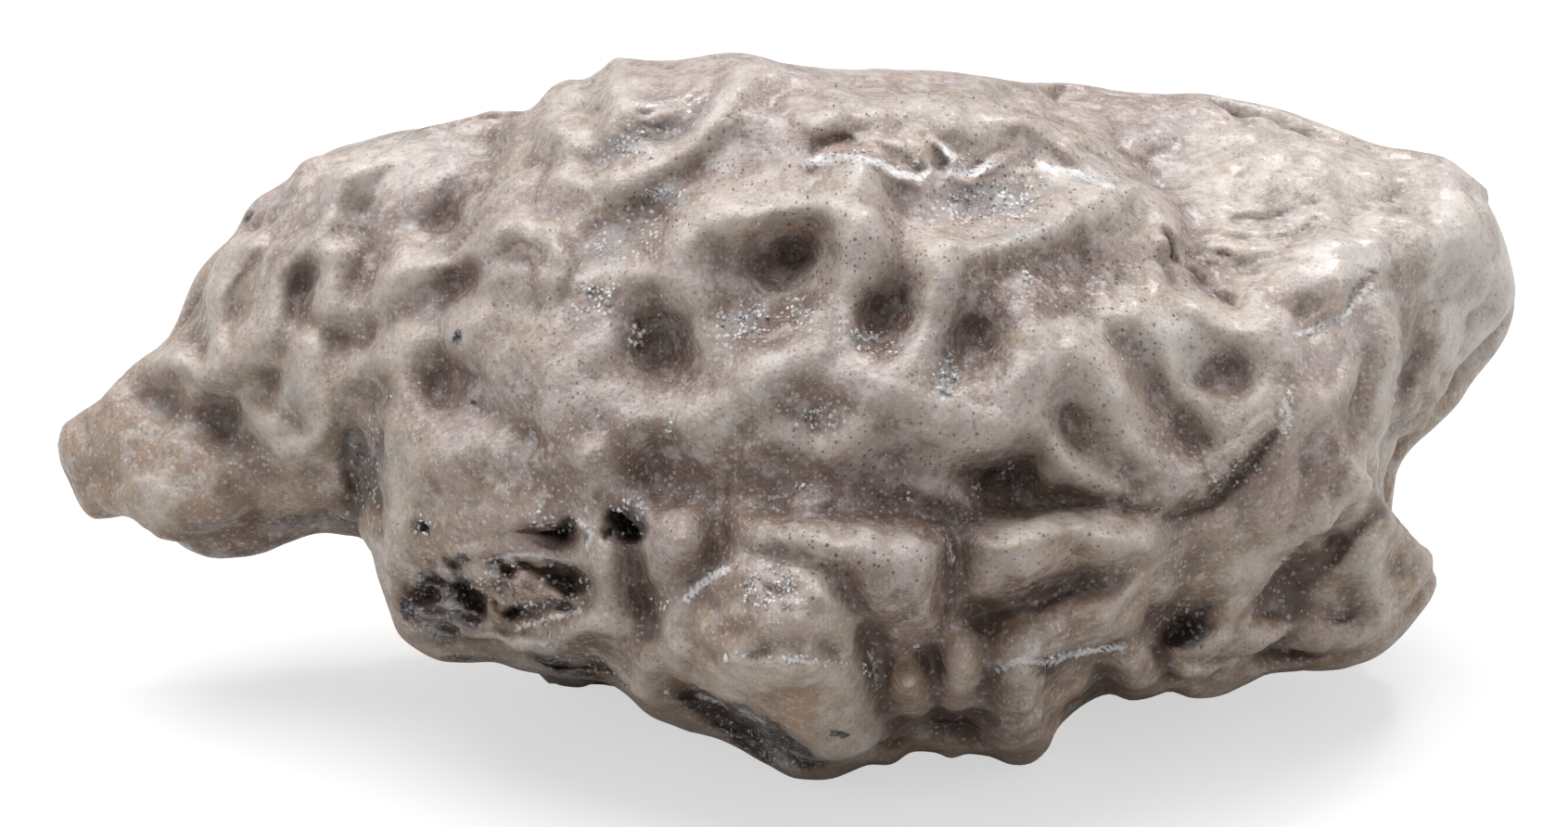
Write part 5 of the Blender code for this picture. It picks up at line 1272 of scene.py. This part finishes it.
def group_with(name, numbers, outputs):
    """An empty node group that takes a Place and named numbers and puts out named numbers, and its ends."""
    tree = bpy.data.node_groups.new(name, "ShaderNodeTree")
    tree.interface.new_socket("Place", in_out="INPUT", socket_type="NodeSocketVector")
    for socket in numbers:
        tree.interface.new_socket(socket, in_out="INPUT", socket_type="NodeSocketFloat")
    for socket in outputs:
        tree.interface.new_socket(socket, in_out="OUTPUT", socket_type="NodeSocketFloat")
    return tree, tree.nodes.new("NodeGroupInput"), tree.nodes.new("NodeGroupOutput")


def mottling_group():
    """Cloudy noise: Height is the noise, and Mask is the noise stretched between Low and High."""
    tree, start, end = group_with("mottling", ("Scale", "Low", "High"), ("Mask", "Height"))
    given = start.outputs
    noise = add(tree, "ShaderNodeTexNoise", {
        "Vector": given["Place"], "Scale": given["Scale"], "Detail": 4.0, "Roughness": 0.6,
    }).outputs[0]
    tree.links.new(share_between(tree, noise, given["Low"], given["High"]), end.inputs["Mask"])
    tree.links.new(noise, end.inputs["Height"])
    return tree


def speck_group():
    """Specks of sizes up to Size, each at the middle of a cell, in the Share of cells picked by chance."""
    tree, start, end = group_with("specks", ("Scale", "Size", "Share"), ("Mask",))
    given = start.outputs
    cells = add(tree, "ShaderNodeTexVoronoi", {"Vector": given["Place"], "Scale": given["Scale"]})
    chance = add(tree, "ShaderNodeSeparateColor", {0: cells.outputs["Color"]})
    size = reckoned(tree, "MULTIPLY", chance.outputs[1], given["Size"])
    near = reckoned(tree, "LESS_THAN", cells.outputs["Distance"], size)
    picked = reckoned(tree, "LESS_THAN", chance.outputs[0], given["Share"])
    tree.links.new(reckoned(tree, "MULTIPLY", near, picked), end.inputs["Mask"])
    return tree


def use_group(tree, group, **inputs):
    """A node group placed in a tree, with its inputs."""
    return add(tree, "ShaderNodeGroup", inputs, node_tree=group)


def new_material(name):
    """An empty material with its shader, and the place on the piece that its patterns read."""
    material = bpy.data.materials.new(name)
    material.use_nodes = True
    tree = material.node_tree
    return material, tree, tree.nodes["Principled BSDF"], add(tree, "ShaderNodeTexCoord").outputs["Object"]


def torn(tree, stain_share, cloud, low=0.3, high=0.62, ragged=0.8):
    """A stain with a torn edge: its share plus a cloud times raggedness, stretched between low and high."""
    shifted = reckoned(tree, "MULTIPLY_ADD", cloud, ragged)
    shifted.node.inputs[2].default_value = -0.5 * ragged
    return share_between(tree, reckoned(tree, "ADD", stain_share, shifted), low, high)


def stained(tree, ground, stains, cloud):
    """A ground with stains laid over it in turn, each torn by a cloud."""
    for name, colour, strength in stains:
        share = torn(tree, on_points(tree, name), cloud, *STAIN_EDGE)
        ground = lay(tree, ground, colour, share, strength)
    return ground


def ground_colour(tree, clouds):
    """The plain stone: dark to light clouds, with warm, pale and ochre ones laid over them."""
    colour = over(tree, GROUND_DARK, GROUND_LIGHT, clouds["wide"].outputs["Mask"])
    colour = lay(tree, colour, GROUND_WARM, clouds["middling"].outputs["Mask"], 0.5)
    pale = share_between(tree, clouds["small"].outputs["Height"], 0.52, 0.66)
    colour = lay(tree, colour, GROUND_PALE, pale, 0.6)
    return lay(tree, colour, OCHRE, clouds["patchy"].outputs["Mask"], 0.4)


def relief_colour(tree, colour, height, low, clouds):
    """The stains, buff low down, ochre and pale crests on the ridges, and painted shade in what is sunk."""
    cloud, fine = clouds["small"].outputs["Height"], clouds["fine"].outputs["Height"]
    relief, crease = on_points(tree, "broad relief"), on_points(tree, "fine relief")
    rib = torn(tree, on_points(tree, "rib"), cloud, 0.0, 1.0)
    colour = stained(tree, colour, UNDER_STAINS, cloud)
    colour = lay(tree, colour, BUFF, low, 0.78)
    ochre_strength = share_between(tree, height, *OCHRE_HEIGHTS, *OCHRE_STRENGTHS)
    colour = lay(tree, colour, OCHRE, share_between(tree, rib, 0.15, 0.5), ochre_strength)
    # Of the middle stains, the second is painted shade.
    colour = stained(tree, colour, MIDDLE_STAINS, cloud)
    colour = lay(tree, colour, CREST, share_between(tree, rib, 0.6, 0.95), 0.3)
    # Painted shade in the hollows, where the ground sinks below its neighbours.
    colour = lay(tree, colour, SHADE_AND_DARK_MOTTLE, share_between(tree, relief, 0.5, 0.05), 0.65)
    colour = lay(tree, colour, CREST, share_between(tree, relief, 0.65, 1.0), 0.3)
    # Of the top stains, the first is painted shade in the pits and under the ledges, and the second is partly
    # painted light.
    colour = stained(tree, colour, TOP_STAINS, cloud)
    # Painted shade in the fine creases.
    colour = lay(tree, colour, SHADE_AND_DARK_MOTTLE, share_between(tree, crease, 0.46, 0.1), 0.5)
    # Painted shade: near black in the holes and cavities.
    return over(tree, colour, HOLE_SHADE, torn(tree, on_points(tree, "hole"), fine, 0.4, 0.55, 1.6))


def dust_shade_and_glint_colour(tree, colour, low, clouds):
    """Milky and dusty clouds over a colour, the deepest painted shade low down, and white edges and glints.
    """
    patchy, fine = clouds["patchy"].outputs["Height"], clouds["fine"].outputs["Height"]
    colour = lay(tree, colour, GROUND_PALE, clouds["milky"].outputs["Mask"], 0.45)
    # Dark chance mottling, in the same colour as the painted shade.
    colour = lay(tree, colour, SHADE_AND_DARK_MOTTLE, share_between(tree, patchy, 0.47, 0.32), 0.45)
    colour = lay(tree, colour, GROUND_PALE, share_between(tree, fine, 0.54, 0.7), 0.35)
    colour = lay(tree, colour, SHADE_AND_DARK_MOTTLE, share_between(tree, fine, 0.46, 0.3), 0.38)
    colour = lay(tree, colour, WHITE_FLECK_AND_GLINT, clouds["dusty"].outputs["Mask"], 0.12)
    # Painted shade, deepest in the hollows of the lower part.
    sunk = share_between(tree, on_points(tree, "broad relief"), 0.48, 0.12)
    colour = lay(tree, colour, DEEPEST_SHADE, reckoned(tree, "MULTIPLY", sunk, low), 0.7)
    # White chipped edges, with painted highlights along the edges that catch the light.
    line = torn(tree, on_points(tree, "white edge and glint"), fine, 0.4, 0.75, 1.4)
    return lay(tree, colour, WHITE_FLECK_AND_GLINT, line, 0.75)


def speckled_colour(tree, colour, place, specks):
    """A colour with black dots and white sparks, by the shares kept on the points, and the sparks' mask."""
    dots = use_group(tree, specks, Place=place, Scale=8000.0, Size=0.5, Share=0.62)
    dotted = share_between(tree, on_points(tree, "speck"), 0.0, 1.0, 0.3, 0.9)
    colour = lay(tree, colour, BLACK_SPECK, dots.outputs["Mask"], dotted)
    sparks = use_group(tree, specks, Place=place, Scale=8000.0, Size=0.6, Share=0.35)
    sparkling = share_between(tree, on_points(tree, "crystal"), 0.0, 1.0, 0.3, 1.0)
    sparkling = reckoned(tree, "MULTIPLY", sparks.outputs["Mask"], sparkling)
    return over(tree, colour, WHITE_FLECK_AND_GLINT, sparkling), sparkling


def stone_colour(tree, place, mottling, specks):
    """The stone's colour, laid from the ground up, and where it sparkles."""
    clouds = {}
    for name, (scale, low, high) in CLOUDS.items():
        clouds[name] = use_group(tree, mottling, Place=place, Scale=scale, Low=low, High=high)
    height = add(tree, "ShaderNodeSeparateXYZ", {0: place}).outputs["Z"]
    low = share_between(tree, height, BUFF_FROM, BUFF_FULL)
    low = torn(tree, low, clouds["small"].outputs["Height"], 0.1, 0.9)
    colour = relief_colour(tree, ground_colour(tree, clouds), height, low, clouds)
    return speckled_colour(tree, dust_shade_and_glint_colour(tree, colour, low, clouds), place, specks)


def stone_material(mottling, specks):
    """Waxy, weathered stone: the colour above, a sheen that glossy spots change, and fine bumps."""
    material, tree, shader, place = new_material("weathered_stone_skin")
    colour, sparkling = stone_colour(tree, place, mottling, specks)
    tree.links.new(colour, shader.inputs["Base Color"])
    grain = use_group(tree, mottling, Place=place, Scale=2200.0, Low=0.3, High=0.7)
    sand = use_group(tree, mottling, Place=place, Scale=9000.0, Low=0.3, High=0.7)
    rough = share_between(tree, grain.outputs["Height"], 0.3, 0.7, 0.32, 0.5)
    glossed = reckoned(tree, "MULTIPLY", torn(tree, on_points(tree, "gloss"), grain.outputs["Height"]), 0.22)
    rough = reckoned(tree, "SUBTRACT", rough, glossed)
    rough = reckoned(tree, "SUBTRACT", rough, reckoned(tree, "MULTIPLY", sparkling, 0.2))
    tree.links.new(rough, shader.inputs["Roughness"])
    coat = share_between(tree, on_points(tree, "gloss"), 0.0, 1.0, 0.28, 0.8)
    tree.links.new(coat, shader.inputs["Coat Weight"])
    shader.inputs["Coat Roughness"].default_value = 0.22
    shader.inputs["Subsurface Weight"].default_value = 0.25
    shader.inputs["Subsurface Radius"].default_value = (1.0, 0.55, 0.38)
    shader.inputs["Subsurface Scale"].default_value = 0.0005
    height = reckoned(tree, "MULTIPLY_ADD", sand.outputs["Height"], 0.3)
    tree.links.new(grain.outputs["Height"], height.node.inputs[2])
    bump = add(tree, "ShaderNodeBump", {"Height": height, "Distance": 0.0001, "Strength": 1.0})
    tree.links.new(bump.outputs["Normal"], shader.inputs["Normal"])
    return material


def grain_material(mottling):
    """Small crystals: dark to white by their tone, glassy, with a slight cloudiness."""
    material, tree, shader, place = new_material("crystal_grains")
    cloud = use_group(tree, mottling, Place=place, Scale=4000.0, Low=0.3, High=0.7)
    colour = over(tree, DARK_GRAIN, WHITE_GRAIN, on_points(tree, "tone"))
    colour = lay(tree, colour, GREY, cloud.outputs["Mask"], 0.25)
    tree.links.new(colour, shader.inputs["Base Color"])
    rough = share_between(tree, cloud.outputs["Height"], 0.3, 0.7, 0.12, 0.35)
    tree.links.new(rough, shader.inputs["Roughness"])
    bump = add(tree, "ShaderNodeBump", {"Height": cloud.outputs["Height"], "Distance": 0.00002})
    tree.links.new(bump.outputs["Normal"], shader.inputs["Normal"])
    return material


def floor_material(mottling):
    """A pale board. It glows softly to the camera, and throws its own shade of light back up at the stone."""
    material, tree, shader, place = new_material("pale_board")
    cloud = use_group(tree, mottling, Place=place, Scale=30.0, Low=0.3, High=0.7)
    seen = add(tree, "ShaderNodeLightPath").outputs["Is Camera Ray"]
    board = lay(tree, FLOOR_SEEN, FLOOR_SEEN_DULL, cloud.outputs["Mask"], 0.3)
    tree.links.new(over(tree, FLOOR_THROWN, board, seen), shader.inputs["Base Color"])
    tree.links.new(over(tree, (0, 0, 0, 1), FLOOR_GLOW, seen), shader.inputs["Emission Color"])
    shader.inputs["Emission Strength"].default_value = 1.0
    shader.inputs["Roughness"].default_value = 0.9
    return material


def show(name, mesh, material):
    """Puts a mesh into the scene as a piece at the origin, with its material."""
    piece = bpy.data.objects.new(name, mesh)
    bpy.context.scene.collection.objects.link(piece)
    mesh.materials.append(material)
    return piece


def soft_light(name, place, side, watts):
    """A square softbox at a place in metres, facing the stone."""
    light = bpy.data.lights.new(name, "AREA")
    light.size, light.energy = side, watts
    lamp = bpy.data.objects.new(name, light)
    bpy.context.scene.collection.objects.link(lamp)
    lamp.location = place
    lamp.rotation_euler = (Vector(LIGHT_AIM) - Vector(place)).to_track_quat("-Z", "Y").to_euler()


def set_camera(unit, shift):
    """A long lens that looks square on at the middle of the photograph's frame, in the outline's plane."""
    aim = leaned(np.array((PHOTO_WIDTH / 2, PHOTO_HEIGHT / 2, SHARP_DEPTH))) * unit + shift
    back = Vector((0, -math.cos(LEAN), math.sin(LEAN)))
    camera = bpy.data.cameras.new("camera")
    camera.lens, camera.sensor_width = LENS, SENSOR
    camera.clip_start, camera.clip_end = 0.01, 10
    holder = bpy.data.objects.new("camera", camera)
    bpy.context.scene.collection.objects.link(holder)
    holder.location = Vector(aim) + back * (PHOTO_WIDTH * unit * LENS / SENSOR)
    holder.rotation_euler = (-back).to_track_quat("-Z", "Y").to_euler()
    bpy.context.scene.camera = holder


def set_light():
    """A wide softbox over the stone, weak ones round it, a small one behind for sheens, and a pale sky."""
    for name, (place, side, watts) in SOFT_LIGHTS.items():
        soft_light(name, place, side, watts)
    world = bpy.data.worlds.new("sky")
    bpy.context.scene.world = world
    world.use_nodes = True
    sky = world.node_tree.nodes["Background"]
    sky.inputs["Color"].default_value = (1, 1, 1, 1)
    sky.inputs["Strength"].default_value = SKY_STRENGTH
    bpy.context.scene.view_settings.view_transform = "Standard"


def make_floor(mottling):
    """A square board under the stone."""
    half = FLOOR_SIDE / 2
    corners = [(-half, -half, 0), (half, -half, 0), (half, half, 0), (-half, half, 0)]
    mesh = bpy.data.meshes.new("floor")
    mesh.from_pydata(corners, [], [(0, 1, 2, 3)])
    floor = show("floor", mesh, floor_material(mottling))


def mark_skin(mesh, grid, station, angle):
    """Keeps on the skin's points what its material reads: reliefs, ribs, stains, white edges and painted
    glints.
    """
    frontness = np.sin(angle)
    for name, (reach, span) in RELIEFS.items():
        keep_on_points(mesh, name, in_mesh_order(stood_out(grid, reach, span)))
    keep_on_points(mesh, "rib", in_mesh_order(rib_share(loft(station, angle), frontness)))
    places = bent_places(grid)
    for number, (name, ovals) in enumerate(STAINS.items()):
        values = stain(grid, places, frontness, ovals, STAIN_SEED + number)
        if name in FACE_STAINS:
            values = values * face_share(frontness)
        keep_on_points(mesh, name, in_mesh_order(values))
    white = line_relief(grid[..., 0], grid[..., 1], WHITE_EDGES_AND_GLINTS) * face_share(frontness)
    keep_on_points(mesh, "white edge and glint", in_mesh_order(white))


def make_grains(grid, frontness, unit, shift, mottling):
    """The crystals and grains of sand, none of them lower than the surface that the stone lies on."""
    rng = np.random.default_rng(GRAIN_SEED)
    middles, sizes, tones = grain_places(grid, frontness, rng)
    middles = leaned(middles) * unit + shift
    middles[:, 2] = np.maximum(middles[:, 2], sizes * unit)
    mesh = grain_mesh("crystal_grains", middles, sizes * unit, tones, rng)
    grains = show("crystal_grains", mesh, grain_material(mottling))
    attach(grains, "root")


def make_stone():
    """Builds the skin, its grains and the floor, and returns the size of a face unit in metres and the shift
    to rest: the skin is as long as the solid and has its middle, and it is cut level at the surface."""
    station, angle = grid_places(ROWS, COLUMNS)
    grid = stone_grid(station, angle)
    standing = leaned(grid)
    standing[..., 2] = np.maximum(standing[..., 2], 0)
    lowest, highest = standing.min((0, 1)), standing.max((0, 1))
    unit = (STONE_BOX[1][0] - STONE_BOX[0][0]) / (highest[0] - lowest[0])
    shift = (STONE_BOX[0] + STONE_BOX[1]) / 2 - unit * (lowest + highest) / 2
    shift[2] = 0
    mesh = closed_mesh("stone_skin", standing * unit + shift)
    mark_skin(mesh, grid, station, angle)
    mottling = mottling_group()
    skin = show("stone_skin", mesh, stone_material(mottling, speck_group()))
    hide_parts("fossil")
    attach(skin, "root")
    make_grains(grid, np.sin(angle), unit, shift, mottling)
    make_floor(mottling)
    return unit, shift


set_camera(*make_stone())
set_light()
